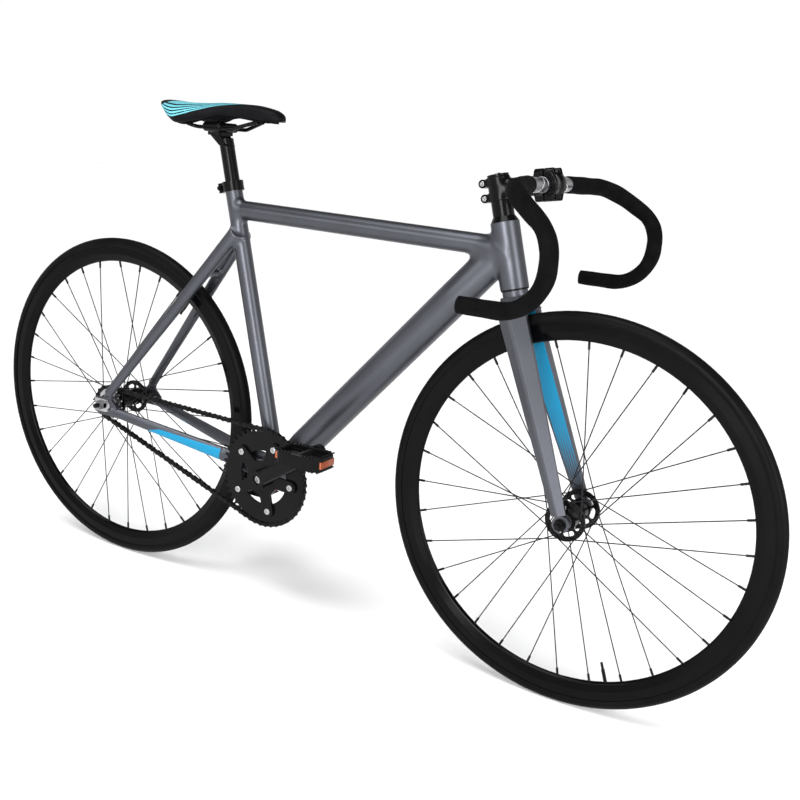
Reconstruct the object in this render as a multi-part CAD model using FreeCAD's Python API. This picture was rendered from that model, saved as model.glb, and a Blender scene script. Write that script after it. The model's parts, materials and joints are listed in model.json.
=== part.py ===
import FreeCAD, Part
import math
import os

# Fixed gear bicycle: welded frame, bladed fork, drop bar, spoked wheels and a one-speed chain drive.
# Millimetres.  +X is forward, +Y is the rider's left, +Z is up, and the drive side is -Y.
# The origin is on the ground, midway between the two axles.

# Clearances and cutting
RUN_FIT = 0.05
SEAT_FIT = 0.02
SIDE_GAP = 0.5
SOFT_GAP = 0.3
CUT = 5.0
TINY = 0.000001

# Layout of the bicycle
WHEELBASE = 998.0
BB_DROP = 67.0
HEAD_ANGLE = 74.3
SEAT_ANGLE = 76.13
FORK_RAKE = 43.0
FORK_AXIS_LENGTH = 378.0
REAR_DROPOUT_SPACING = 120.0
FRONT_DROPOUT_SPACING = 100.0

# Tyre, tube, rim and valve
BEAD_SEAT_DIAMETER = 622.0
TYRE_HEIGHT = 23.0
TYRE_WIDTH = 24.0
TYRE_WALL = 2.6
TYRE_WIDEST_SHARE = 0.294
TYRE_SHOULDER_SHARE = 0.909
TYRE_BEAD_SHARE = 0.458
TUBE_WALL = 1.0
RIM_CHANNEL_SHARE = 0.66
RIM_HOOK_HEIGHT = 6.0
RIM_DEPTH = 30.0
RIM_TRACK_SHARE = 0.5
RIM_WALL = 1.6
RIM_BED_WALL = 2.4
RIM_BED_WIDTH_SHARE = 0.55
RIM_NOSE_SHARE = 0.12
VALVE_DIAMETER = 6.0
VALVE_SHOWN = 34.0
VALVE_TIP_DIAMETER = 4.4
VALVE_TIP_SHARE = 0.35
FRONT_VALVE_ANGLE = -71.4
REAR_VALVE_ANGLE = 53.5

# Spokes and nipples
SPOKE_COUNT = 32
SPOKE_CROSSES = 3
SPOKE_DIAMETER = 2.0
SPOKE_STANDOFF = 1.6
SPOKE_HEAD_DIAMETER = 4.0
SPOKE_HEAD_HEIGHT = 1.2
SPOKE_HOLE_FIT = 0.1
NIPPLE_DIAMETER = 4.2
NIPPLE_SHOWN = 12.0
NIPPLE_HEAD_DIAMETER = 6.4
NIPPLE_HEAD_HEIGHT = 2.0
NIPPLE_HEAD_GAP = 0.6
NIPPLE_FIT = 0.15

# Hubs, axles and bearings
FLANGE_DIAMETER = 68.0
FLANGE_THICKNESS = 3.5
FLANGE_EDGE = 4.0
FLANGE_WINDOWS = 6
FLANGE_WINDOW_SHARE = 0.7
FLANGE_WINDOW_TURN_SHARE = 0.5
HUB_BARREL_DIAMETER = 33.0
HUB_BORE_GAP = 3.0
FRONT_FLANGE_OFFSET = 35.0
REAR_FLANGE_OFFSET = 31.5
HUB_END_GAP = 9.0
BEARING_DIAMETER = 26.0
BEARING_WIDTH = 8.0
FRONT_AXLE_DIAMETER = 9.0
REAR_AXLE_DIAMETER = 10.0
AXLE_COLLAR_DIAMETER = 17.0
AXLE_END = 8.0
AXLE_END_STEP = 0.3
NUT_FLATS = 15.0
NUT_HEIGHT = 8.0
NUT_FLANGE_DIAMETER = 20.0
NUT_FLANGE_HEIGHT = 2.5

# Chain drive
CHAIN_PITCH = 12.7
CHAIN_LINKS = 96
RING_TEETH = 46
COG_TEETH = 16
CHAIN_LINE = 42.0
SPROCKET_THICKNESS = 3.0
ROLLER_DIAMETER = 7.75
ROLLER_GAP = 0.2
TOOTH_HEIGHT = 3.6
TOOTH_TIP_SHARE = 0.12
CHAIN_INNER_WIDTH = 3.6
CHAIN_PLATE_THICKNESS = 1.1
CHAIN_PLATE_HEIGHT = 8.6
CHAIN_PLATE_GAP = 0.1
CHAIN_WAIST_SHARE = 0.36
PIN_DIAMETER = 3.6
PIN_GAP = 0.15
PIN_PROUD = 0.5
COG_BOSS_DIAMETER = 44.0
COG_BOSS_HEIGHT = 3.0
COG_THREAD_DIAMETER = 34.8
LOCKRING_DIAMETER = 40.0
LOCKRING_HEIGHT = 4.5
LOCKRING_NOTCHES = 4
LOCKRING_NOTCH = 4.0

# Cranks and bottom bracket
CRANK_LENGTH = 165.0
CRANK_ANGLE = 32.4
CRANK_BOSS_DIAMETER = 36.0
CRANK_BOSS_INNER = 47.0
CRANK_BOSS_OUTER = 66.0
CRANK_ARM_THICKNESS = 13.0
CRANK_ARM_ROOT_WIDTH = 27.0
CRANK_ARM_TIP_WIDTH = 23.0
CRANK_EYE_DIAMETER = 28.0
CRANK_EYE_INNER = 66.0
CRANK_BOLT_DIAMETER = 17.0
CRANK_BOLT_HEIGHT = 4.0
CRANK_SOCKET = 8.0
RING_BOLT_CIRCLE = 130.0
RING_BOLTS = 5
RING_INNER_DIAMETER = 106.0
RING_TAB_DIAMETER = 20.0
SPIDER_THICKNESS = 5.0
SPIDER_ARM_WIDTH = 24.0
SPIDER_WEB_DIAMETER = 70.0
RING_BOLT_DIAMETER = 8.0
RING_BOLT_HEAD_DIAMETER = 12.0
RING_BOLT_HEAD_HEIGHT = 2.0
BB_SHELL_DIAMETER = 42.0
BB_SHELL_WIDTH = 68.0
BB_SHELL_WALL = 3.8
BB_CUP_FLANGE = 3.0
BB_CUP_DEPTH = 18.0
SPINDLE_DIAMETER = 17.0
SPINDLE_LENGTH = 116.0

# Pedals
PEDAL_LENGTH = 96.0
PEDAL_WIDTH = 62.0
PEDAL_HEIGHT = 24.0
PEDAL_RAIL = 9.0
PEDAL_CORNER = 14.0
PEDAL_BARREL_DIAMETER = 22.0
PEDAL_GAP = 3.0
PEDAL_SPINDLE_DIAMETER = 10.0
PEDAL_COLLAR_DIAMETER = 15.0
PEDAL_CAP = 4.0
REFLECTOR_LENGTH = 40.0
REFLECTOR_HEIGHT = 12.0
REFLECTOR_THICKNESS = 4.0
REFLECTOR_DEPTH = 3.4

# Frame tubes
HEAD_TUBE_DIAMETER = 47.0
HEAD_TUBE_LENGTH = 107.0
HEAD_TUBE_BORE = 35.0
HEAD_BEARING_DIAMETER = 41.0
HEAD_BEARING_HEIGHT = 8.0
HEAD_BEARING_RECESS = 1.0
SEAT_TUBE_DIAMETER = 31.8
SEAT_TUBE_LENGTH = 551.0
TOP_TUBE_DIAMETER = 34.9
TOP_TUBE_WALL = 1.6
TOP_TUBE_SEAT_STATION = 502.7
TOP_TUBE_HEAD_STATION = 65.0
DOWN_TUBE_DIAMETER = 58.0
DOWN_TUBE_FOOT_DIAMETER = 46.0
DOWN_TUBE_TAPER = 90.0
DOWN_TUBE_WALL = 1.8
DOWN_TUBE_HEAD_STATION = 69.0
STAY_WALL = 1.4
CHAINSTAY_ROOT_SIZE = (32.0, 18.0)
CHAINSTAY_KNEE_SIZE = (28.0, 17.0)
CHAINSTAY_TIP_SIZE = (19.0, 13.0)
CHAINSTAY_ROOT_OFFSET = 23.0
CHAINSTAY_KNEE_OFFSET = 26.0
CHAINSTAY_KNEE_SHARE = 0.3
SEATSTAY_ROOT_SIZE = (27.0, 22.0)
SEATSTAY_TIP_SIZE = (18.0, 13.0)
SEATSTAY_STATION = 459.5
SEATSTAY_ROOT_OFFSET = 14.0
SEATSTAY_BRIDGE_SHARE = 0.24
SEATSTAY_BRIDGE_DIAMETER = 14.0
CHAINSTAY_BRIDGE_SHARE = 0.12
CHAINSTAY_BRIDGE_DIAMETER = 12.0

# Track ends
DROPOUT_THICKNESS = 5.0
DROPOUT_SLOT_FIT = 0.1
DROPOUT_LIP = 10.0
DROPOUT_REAR = 24.0
DROPOUT_FRONT = 44.0
DROPOUT_SLOT_FRONT = 12.0
DROPOUT_SEATSTAY_JOIN = (20.0, 27.0)
DROPOUT_CHAINSTAY_JOIN = (29.0, -9.0)
DROPOUT_TOP = 36.0
DROPOUT_BOTTOM = 20.0
LINER_THICKNESS = 1.0
LINER_BORDER = 8.0

# Seat collar and seatpost
SEATPOST_DIAMETER = 27.2
SEATPOST_SHOWN = 79.5
SEATPOST_INSERTED = 200.0
SEATPOST_BORE = 23.0
COLLAR_WALL = 3.6
COLLAR_HEIGHT = 15.0
COLLAR_LIP = 3.0
COLLAR_EAR_LENGTH = 9.0
COLLAR_EAR_WIDTH = 16.0
COLLAR_SLIT = 2.5
COLLAR_BOLT_DIAMETER = 5.0
COLLAR_BOLT_HEAD = 8.5

# Saddle and its clamp
SADDLE_LENGTH = 262.0
SADDLE_NOSE_FORWARD = 130.0
SADDLE_RISE = 53.4
SADDLE_HALF_WIDTH = 67.0
SADDLE_DEPTH = 32.0
SADDLE_STATION_SHARES = (0.0, 0.02, 0.08, 0.25, 0.45, 0.62, 0.78, 0.86, 0.93, 0.98, 1.0)
SADDLE_WIDTH_SHARES = (0.075, 0.18, 0.275, 0.33, 0.44, 0.74, 0.93, 0.86, 0.7, 0.55, 0.42)
SADDLE_TOP_SHARES = (-0.25, -0.06, 0.15, 0.34, 0.37, 0.29, 0.26, 0.28, 0.31, 0.33, 0.27)
SADDLE_BOTTOM_SHARES = (-0.47, -0.52, -0.53, -0.45, -0.4, -0.74, -0.98, -0.7, -0.36, -0.1, 0.02)
SADDLE_ARCH_SHARE = 0.2
SADDLE_SKIRT_SHARE = 0.45
SADDLE_DRAW_IN_SHARE = 0.86
SADDLE_SHELL_THICKNESS = 3.0
SADDLE_SHELL_GAP = 0.8
SADDLE_SHELL_WIDTH_SHARE = 0.84
SADDLE_SHELL_FIRST = 2
SADDLE_SHELL_LAST = 8
RAIL_DIAMETER = 7.0
RAIL_SPACING = 44.0
RAIL_STRAIGHT = 86.0
RAIL_BEND_RADIUS = 22.0
RAIL_NOSE_SHARE = 0.2
RAIL_TAIL_SHARE = 0.74
RAIL_NOSE_OFFSET = 8.0
RAIL_TAIL_OFFSET = 34.0
RAIL_SUNK = 0.8
POST_HEAD_SETBACK = 14.0
POST_HEAD_LENGTH = 34.0
POST_HEAD_WIDTH = 30.0
POST_HEAD_HEIGHT = 12.0
CLAMP_LENGTH = 40.0
CLAMP_WIDTH = 58.0
CLAMP_JAW = 7.0
CLAMP_SPLIT = 1.5
CLAMP_BOLT_DIAMETER = 8.0
CLAMP_BOLT_HEAD = 13.0
CLAMP_BOLT_HEAD_HEIGHT = 3.0

# Fork, steerer and headset
STEERER_DIAMETER = 28.6
STEERER_WALL = 2.2
CROWN_HEIGHT = 39.0
CROWN_NECK = 12.0
CROWN_NECK_DIAMETER = 42.0
CROWN_TOP_SIZE = (40.0, 46.0)
CROWN_FOOT_SIZE = (46.0, 90.0)
CROWN_CORNER_SHARE = 0.18
BLADE_ROOT_SIZE = (46.0, 24.0)
BLADE_TIP_SIZE = (24.0, 9.0)
BLADE_ROOT_INNER = 21.0
BLADE_WALL = 1.8
BLADE_SECTION_SHARES = ((-0.5, 0.35), (-0.5, -0.15), (-0.12, -0.5), (0.02, -0.5), (0.5, 0.02), (0.5, 0.35),
                        (0.38, 0.5), (-0.38, 0.5))
BLADE_END = 14.0
FORK_TIP_DIAMETER = 29.0
FORK_TIP_THICKNESS = 7.0
FORK_SLOT_FIT = 0.1
RACE_DIAMETER = 46.0
RACE_HEIGHT = 2.6
RACE_GAP = 0.3
TOP_COVER_HEIGHT = 9.0
TOP_COVER_TOP_DIAMETER = 36.0
SPACER_COUNT = 5
SPACER_HEIGHT = 5.0
SPACER_DIAMETER = 35.0

# Stem
STEM_LENGTH = 82.5
STEM_ANGLE = -6.6
STEM_CLAMP_HEIGHT = 38.0
STEM_CLAMP_DIAMETER = 37.0
STEM_ARM_DIAMETER = 31.0
STEM_FACE_HEIGHT = 48.0
STEM_FACE_WIDTH = 42.0
STEM_FACE_DEPTH = 17.0
STEM_FACE_GAP = 2.0
STEM_FACE_ROUND_DIAMETER = 52.0
STEM_BOLT_DIAMETER = 5.0
STEM_BOLT_HEAD = 8.5
STEM_BOLT_HEAD_HEIGHT = 5.0
STEM_BOLT_ROW = 38.0
STEM_BOLT_COLUMN = 28.0
STEM_BOLT_DEPTH = 12.0
PINCH_LUG_DIAMETER = 14.0
PINCH_LUG_WIDTH = 24.0
PINCH_BACK = 24.0
PINCH_HEAD_SUNK = 4.0
PINCH_ROW = 23.6
PINCH_SLIT = 2.0
TOP_CAP_HEIGHT = 3.5
TOP_CAP_DIAMETER = 35.0

# Drop bar
BAR_DIAMETER = 23.8
BAR_CLAMP_DIAMETER = 25.4
BAR_CLAMP_LENGTH = 60.0
BAR_WALL = 2.0
BAR_GRIP_STRAIGHT = 10.0
BAR_HALF_WIDTH = 244.0
BAR_REACH = 109.3
BAR_RAMP_DROP = 56.0
BAR_HOOK_STRAIGHT = 42.0
BAR_HOOK_RADIUS = 67.0
BAR_END_BACK = 12.7
BAR_SHOULDER_SHARES = (0.276, 0.867, 0.045)
BAR_STRAIGHT_RADIUS = 40.0
BAR_SHOULDER_RADIUS = 80.0
BAR_RAMP_RADIUS = 60.0
GRIP_DIAMETER = 27.0
GRIP_START = 76.0
PLUG_DIAMETER = 25.0
PLUG_HEIGHT = 4.0
PLUG_DEPTH = 14.0

# Values worked out from the sizes above
BEAD_SEAT_RADIUS = BEAD_SEAT_DIAMETER / 2
WHEEL_RADIUS = BEAD_SEAT_RADIUS + TYRE_HEIGHT
RIM_RADIUS = BEAD_SEAT_RADIUS + RIM_HOOK_HEIGHT
RIM_BED_RADIUS = RIM_RADIUS - RIM_DEPTH
RIM_CHANNEL_HALF = TYRE_WIDTH * RIM_CHANNEL_SHARE / 2
RIM_HALF = RIM_CHANNEL_HALF + RIM_WALL
FLANGE_RADIUS = FLANGE_DIAMETER / 2
SPOKE_CIRCLE_RADIUS = FLANGE_RADIUS - FLANGE_EDGE
SPOKES_PER_FLANGE = SPOKE_COUNT // 2
SPOKE_STEP = 360 / SPOKES_PER_FLANGE
SPOKE_PHASE = SPOKE_STEP / 4
FRONT_HUB_END = FRONT_DROPOUT_SPACING / 2 - HUB_END_GAP
REAR_HUB_END = REAR_DROPOUT_SPACING / 2 - HUB_END_GAP
RING_RADIUS = CHAIN_PITCH / (2 * math.sin(math.pi / RING_TEETH))
COG_RADIUS = CHAIN_PITCH / (2 * math.sin(math.pi / COG_TEETH))
SEATPOST_RADIUS = SEATPOST_DIAMETER / 2
STEERER_RADIUS = STEERER_DIAMETER / 2
BAR_DROP = BAR_RAMP_DROP + BAR_HOOK_STRAIGHT + BAR_HOOK_RADIUS


def vec(x, y, z):
    return FreeCAD.Vector(x, y, z)


ALONG_Y = vec(0, 1, 0)


def chain_span(centres):
    """Half wrap angle offset, and length in links, of a taut chain round both sprockets."""
    lean = math.asin((RING_RADIUS - COG_RADIUS) / centres)
    run = centres * math.cos(lean)
    ring_links = (math.pi + 2 * lean) / (2 * math.pi) * RING_TEETH
    cog_links = (math.pi - 2 * lean) / (2 * math.pi) * COG_TEETH
    return lean, run, ring_links, cog_links


def chain_centres():
    """Distance between axle and bottom bracket at which the chain is taut, by bisection."""
    low = RING_RADIUS + COG_RADIUS
    high = CHAIN_PITCH * CHAIN_LINKS
    while high - low > TINY:
        middle = (low + high) / 2
        lean, run, ring_links, cog_links = chain_span(middle)
        if 2 * run / CHAIN_PITCH + ring_links + cog_links > CHAIN_LINKS:
            high = middle
        else:
            low = middle
    return low


CHAIN_CENTRES = chain_centres()
REAR_AXLE = vec(-WHEELBASE / 2, 0, WHEEL_RADIUS)
FRONT_AXLE = vec(WHEELBASE / 2, 0, WHEEL_RADIUS)
BB = REAR_AXLE + vec(math.sqrt(CHAIN_CENTRES ** 2 - BB_DROP ** 2), 0, -BB_DROP)
HEAD_UP = vec(-math.cos(math.radians(HEAD_ANGLE)), 0, math.sin(math.radians(HEAD_ANGLE)))
HEAD_FORWARD = vec(HEAD_UP.z, 0, -HEAD_UP.x)
HEAD_FOOT = FRONT_AXLE - HEAD_FORWARD * FORK_RAKE + HEAD_UP * FORK_AXIS_LENGTH
SEAT_UP = vec(-math.cos(math.radians(SEAT_ANGLE)), 0, math.sin(math.radians(SEAT_ANGLE)))
SEAT_BACK = vec(-SEAT_UP.z, 0, SEAT_UP.x)


def steer(forward, side, up):
    """A point in the steering frame, measured from the foot of the head tube."""
    return HEAD_FOOT + HEAD_FORWARD * forward + ALONG_Y * side + HEAD_UP * up


def rod(diameter, start, end):
    along = end - start
    return Part.makeCylinder(diameter / 2, along.Length, start, along)


def ring(outer, inner, start, end):
    along = (end - start).normalize() * CUT
    return rod(outer, start, end).cut(rod(inner, start - along, end + along))


def taper(start_diameter, end_diameter, start, end):
    along = end - start
    return Part.makeCone(start_diameter / 2, end_diameter / 2, along.Length, start, along)


def side_rod(diameter, centre, low, high):
    """A rod along Y through a centre, from one side place to another."""
    return rod(diameter, vec(centre.x, low, centre.z), vec(centre.x, high, centre.z))


def side_ring(outer, inner, centre, low, high):
    return ring(outer, inner, vec(centre.x, low, centre.z), vec(centre.x, high, centre.z))


def fused(first, *others):
    return first.fuse(list(others)).removeSplitter()


def mirrored(shape):
    """The same shape on the other side of the bicycle."""
    return shape.mirror(vec(0, 0, 0), ALONG_Y)


def outline(start, *steps):
    """Closed wire: a point draws a line to it, a pair draws an arc through the first to the second."""
    edges = []
    here = start
    for step in steps:
        if isinstance(step, tuple):
            edges.append(Part.Arc(here, step[0], step[1]).toShape())
            here = step[1]
        else:
            edges.append(Part.LineSegment(here, step).toShape())
            here = step
    if here.distanceToPoint(start) > TINY:
        edges.append(Part.LineSegment(here, start).toShape())
    return Part.Wire(edges)


def slab(wire, along):
    return Part.Face(wire).extrude(along)


def revolved(wire):
    return Part.Face(wire).revolve(vec(0, 0, 0), ALONG_Y, 360)


def at_angle(radius, side, degrees):
    turn = math.radians(degrees)
    return vec(radius * math.cos(turn), side, radius * math.sin(turn))


def hexagon(flats, centre, low, high):
    """Hexagonal prism along Y."""
    corner = flats / math.sqrt(3)
    points = [centre + at_angle(corner, low, 60 * k) for k in range(6)]
    return slab(outline(*points), ALONG_Y * (high - low))


def box_points(centre, across, upward, size, corner):
    """Corners of a rectangle with cut corners, in the plane of two directions."""
    half_a = size[0] / 2
    half_u = size[1] / 2
    signs = ((1, 1), (-1, 1), (-1, -1), (1, -1))
    points = []
    for sign_a, sign_u in signs:
        first = centre + across * (sign_a * half_a) + upward * (sign_u * (half_u - corner))
        second = centre + across * (sign_a * (half_a - corner)) + upward * (sign_u * half_u)
        points += [first, second] if sign_a == sign_u else [second, first]
    return points


def rounded_path(points, radii):
    """Straight runs joined by tangent arcs, one radius for each inner point."""
    edges = []
    here = points[0]
    for before, corner, after, radius in zip(points, points[1:], points[2:], radii):
        back = (before - corner).normalize()
        ahead = (after - corner).normalize()
        half_turn = (math.pi - back.getAngle(ahead)) / 2
        reach = radius * math.tan(half_turn)
        inward = (back + ahead).normalize()
        middle = corner + inward * (radius / math.cos(half_turn) - radius)
        edges.append(Part.LineSegment(here, corner + back * reach).toShape())
        edges.append(Part.Arc(corner + back * reach, middle, corner + ahead * reach).toShape())
        here = corner + ahead * reach
    edges.append(Part.LineSegment(here, points[-1]).toShape())
    return Part.Wire(edges)


def pipe(diameter, path):
    start = path.Edges[0].Vertexes[0].Point
    along = path.Edges[0].Vertexes[1].Point - start
    circle = Part.Wire(Part.makeCircle(diameter / 2, start, along))
    return path.makePipeShell([circle], True, False)


def oval_wire(centre, along, side, size):
    """Oval section of a stay: its height lies in the plane of the wheel, its width towards the side."""
    height, width = size
    upward = along.cross(side).normalize()
    across = upward.cross(along).normalize()
    top = centre + upward * (height / 2)
    foot = centre - upward * (height / 2)
    left = centre + across * (width / 2)
    right = centre - across * (width / 2)
    if height > width:
        ellipse = Part.Ellipse(top, left, centre)
    else:
        ellipse = Part.Ellipse(left, foot, centre)
    return Part.Wire(ellipse.toShape())


def stay_solid(centres, sizes, trim):
    """Tapered oval stay through its centres, each section made smaller all round by a trim."""
    wires = []
    for index, (centre, size) in enumerate(zip(centres, sizes)):
        before = centres[max(index - 1, 0)]
        after = centres[min(index + 1, len(centres) - 1)]
        smaller = (size[0] - 2 * trim, size[1] - 2 * trim)
        wires.append(oval_wire(centre, after - before, ALONG_Y, smaller))
    return Part.makeLoft(wires, True, True)


# Frame tubes

def seat_point(station):
    return BB + SEAT_UP * station


def frame_outers():
    """The frame's tubes as full bars, which cut each other where they meet."""
    taper_end = BB + (steer(0, 0, DOWN_TUBE_HEAD_STATION) - BB).normalize() * DOWN_TUBE_TAPER
    return {
        "head": rod(HEAD_TUBE_DIAMETER, steer(0, 0, 0), steer(0, 0, HEAD_TUBE_LENGTH)),
        "seat": rod(SEAT_TUBE_DIAMETER, BB, seat_point(SEAT_TUBE_LENGTH)),
        "shell": side_rod(BB_SHELL_DIAMETER, BB, -BB_SHELL_WIDTH / 2, BB_SHELL_WIDTH / 2),
        "down": fused(taper(DOWN_TUBE_FOOT_DIAMETER, DOWN_TUBE_DIAMETER, BB, taper_end),
                      rod(DOWN_TUBE_DIAMETER, taper_end, steer(0, 0, DOWN_TUBE_HEAD_STATION))),
    }


def head_tube(outers):
    bore = rod(HEAD_TUBE_BORE, steer(0, 0, -CUT), steer(0, 0, HEAD_TUBE_LENGTH + CUT))
    depth = HEAD_BEARING_HEIGHT + HEAD_BEARING_RECESS
    lower = rod(HEAD_BEARING_DIAMETER, steer(0, 0, -CUT), steer(0, 0, depth))
    top = HEAD_TUBE_LENGTH
    upper = rod(HEAD_BEARING_DIAMETER, steer(0, 0, top - depth), steer(0, 0, top + CUT))
    return outers["head"].cut([bore, lower, upper])


def headset_bearings():
    rings = []
    for low in (HEAD_BEARING_RECESS, HEAD_TUBE_LENGTH - HEAD_BEARING_RECESS - HEAD_BEARING_HEIGHT):
        rings.append(ring(HEAD_BEARING_DIAMETER - 2 * SEAT_FIT, STEERER_DIAMETER + 2 * RUN_FIT,
                          steer(0, 0, low), steer(0, 0, low + HEAD_BEARING_HEIGHT)))
    return rings


def seat_tube(outers):
    bore = rod(SEATPOST_DIAMETER + 2 * RUN_FIT, BB, seat_point(SEAT_TUBE_LENGTH + CUT))
    return outers["seat"].cut([bore, outers["shell"], outers["down"]])


def top_tube(outers):
    seat_end = seat_point(TOP_TUBE_SEAT_STATION)
    head_end = steer(0, 0, TOP_TUBE_HEAD_STATION)
    tube = ring(TOP_TUBE_DIAMETER, TOP_TUBE_DIAMETER - 2 * TOP_TUBE_WALL, seat_end, head_end)
    pieces = tube.cut([outers["head"], outers["seat"], outers["down"]]).Solids
    return max(pieces, key=lambda piece: piece.Volume)


def down_tube(outers):
    head_end = steer(0, 0, DOWN_TUBE_HEAD_STATION)
    taper_end = BB + (head_end - BB).normalize() * DOWN_TUBE_TAPER
    inner = fused(taper(DOWN_TUBE_FOOT_DIAMETER - 2 * DOWN_TUBE_WALL, DOWN_TUBE_DIAMETER - 2 * DOWN_TUBE_WALL,
                        BB, taper_end),
                  rod(DOWN_TUBE_DIAMETER - 2 * DOWN_TUBE_WALL, taper_end, head_end))
    pieces = outers["down"].cut([inner, outers["head"], outers["shell"]]).Solids
    return max(pieces, key=lambda piece: piece.Volume)


def bottom_bracket_shell(outers):
    bore = side_rod(BB_SHELL_DIAMETER - 2 * BB_SHELL_WALL, BB, -BB_SHELL_WIDTH, BB_SHELL_WIDTH)
    return outers["shell"].cut(bore)


def bottom_bracket_cups():
    face = BB_SHELL_WIDTH / 2
    thread = BB_SHELL_DIAMETER - 2 * BB_SHELL_WALL - 2 * SEAT_FIT
    bore = SPINDLE_DIAMETER + 2 * RUN_FIT
    cup = fused(side_ring(thread, bore, BB, -face, BB_CUP_DEPTH - face),
                side_ring(BB_SHELL_DIAMETER, bore, BB, -face - BB_CUP_FLANGE, -face))
    return [cup, mirrored(cup)]


def dropout_side():
    return -(REAR_DROPOUT_SPACING / 2 + DROPOUT_THICKNESS / 2)


def chainstay_centres():
    side = dropout_side()
    end = REAR_AXLE + vec(DROPOUT_CHAINSTAY_JOIN[0], side, DROPOUT_CHAINSTAY_JOIN[1])
    along = end - BB
    knee = BB + vec(along.x * CHAINSTAY_KNEE_SHARE, -CHAINSTAY_KNEE_OFFSET, along.z * CHAINSTAY_KNEE_SHARE)
    return [BB - ALONG_Y * CHAINSTAY_ROOT_OFFSET, knee, end]


CHAINSTAY_SIZES = (CHAINSTAY_ROOT_SIZE, CHAINSTAY_KNEE_SIZE, CHAINSTAY_TIP_SIZE)


def seatstay_centres():
    end = REAR_AXLE + vec(DROPOUT_SEATSTAY_JOIN[0], dropout_side(), DROPOUT_SEATSTAY_JOIN[1])
    return [seat_point(SEATSTAY_STATION) - ALONG_Y * SEATSTAY_ROOT_OFFSET, end]


SEATSTAY_SIZES = (SEATSTAY_ROOT_SIZE, SEATSTAY_TIP_SIZE)


def hollow_stay(centres, sizes, cutters):
    """One side's stay with its wall, cut where it meets other pieces."""
    solid = stay_solid(centres, sizes, 0).cut(stay_solid(centres, sizes, STAY_WALL))
    pieces = solid.cut(cutters).Solids
    stay = max(pieces, key=lambda piece: piece.Volume)
    return [stay, mirrored(stay)]


def chainstays(outers, plates):
    cutters = [outers["shell"], outers["seat"], outers["down"], plates[0]]
    return hollow_stay(chainstay_centres(), CHAINSTAY_SIZES, cutters)


def seatstays(outers, plates):
    return hollow_stay(seatstay_centres(), SEATSTAY_SIZES, [outers["seat"], plates[0]])


def bridge(centres, sizes, share, diameter):
    """Short tube between the two stays, coped to both."""
    root, tip = centres[0], centres[1]
    middle = root + (tip - root) * share
    stay = stay_solid(centres, sizes, 0)
    bar = side_ring(diameter, diameter - 2 * STAY_WALL, middle, middle.y, -middle.y)
    pieces = bar.cut([stay, mirrored(stay)]).Solids
    return max(pieces, key=lambda piece: piece.Volume)


def stay_bridges():
    seat_bridge = bridge(seatstay_centres(), SEATSTAY_SIZES, SEATSTAY_BRIDGE_SHARE, SEATSTAY_BRIDGE_DIAMETER)
    chain_share = CHAINSTAY_BRIDGE_SHARE / CHAINSTAY_KNEE_SHARE
    chain_bridge = bridge(chainstay_centres(), CHAINSTAY_SIZES, chain_share, CHAINSTAY_BRIDGE_DIAMETER)
    return [seat_bridge, chain_bridge]


def slot_half():
    return REAR_AXLE_DIAMETER / 2 + DROPOUT_SLOT_FIT


def dropouts():
    """Track ends: plates with a slot open to the rear, carrying the ends of both stays."""
    half = slot_half()
    lip = half + DROPOUT_LIP

    def spot(x, z):
        return REAR_AXLE + vec(x, -REAR_DROPOUT_SPACING / 2, z)
    slot_end = DROPOUT_SLOT_FRONT + half
    wire = outline(spot(-DROPOUT_REAR, half), spot(-DROPOUT_REAR + LINER_BORDER, lip),
                   spot(DROPOUT_SEATSTAY_JOIN[0] - lip, lip), spot(DROPOUT_SEATSTAY_JOIN[0], DROPOUT_TOP),
                   spot(DROPOUT_CHAINSTAY_JOIN[0], DROPOUT_TOP), spot(DROPOUT_CHAINSTAY_JOIN[0], lip),
                   spot(DROPOUT_FRONT, 0), spot(DROPOUT_FRONT, -DROPOUT_BOTTOM), spot(0, -DROPOUT_BOTTOM),
                   spot(-DROPOUT_REAR + LINER_BORDER, -lip), spot(-DROPOUT_REAR, -half),
                   spot(DROPOUT_SLOT_FRONT, -half), (spot(slot_end, 0), spot(DROPOUT_SLOT_FRONT, half)))
    plate = slab(wire, -ALONG_Y * DROPOUT_THICKNESS)
    return [plate, mirrored(plate)]


def dropout_liners():
    """Bright U-shaped plates round the slots, under the axle nuts."""
    half = slot_half()
    border = half + LINER_BORDER
    side = -REAR_DROPOUT_SPACING / 2 - DROPOUT_THICKNESS

    def spot(x, z):
        return REAR_AXLE + vec(x, side, z)
    slot_end = DROPOUT_SLOT_FRONT + half
    wire = outline(spot(-DROPOUT_REAR + LINER_BORDER, border), spot(DROPOUT_SLOT_FRONT, border),
                   (spot(DROPOUT_SLOT_FRONT + border, 0), spot(DROPOUT_SLOT_FRONT, -border)),
                   spot(-DROPOUT_REAR + LINER_BORDER, -border), spot(-DROPOUT_REAR + LINER_BORDER, -half),
                   spot(DROPOUT_SLOT_FRONT, -half), (spot(slot_end, 0), spot(DROPOUT_SLOT_FRONT, half)),
                   spot(-DROPOUT_REAR + LINER_BORDER, half))
    plate = slab(wire, -ALONG_Y * LINER_THICKNESS)
    return [plate, mirrored(plate)]


# Seat collar, seatpost and saddle

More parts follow.
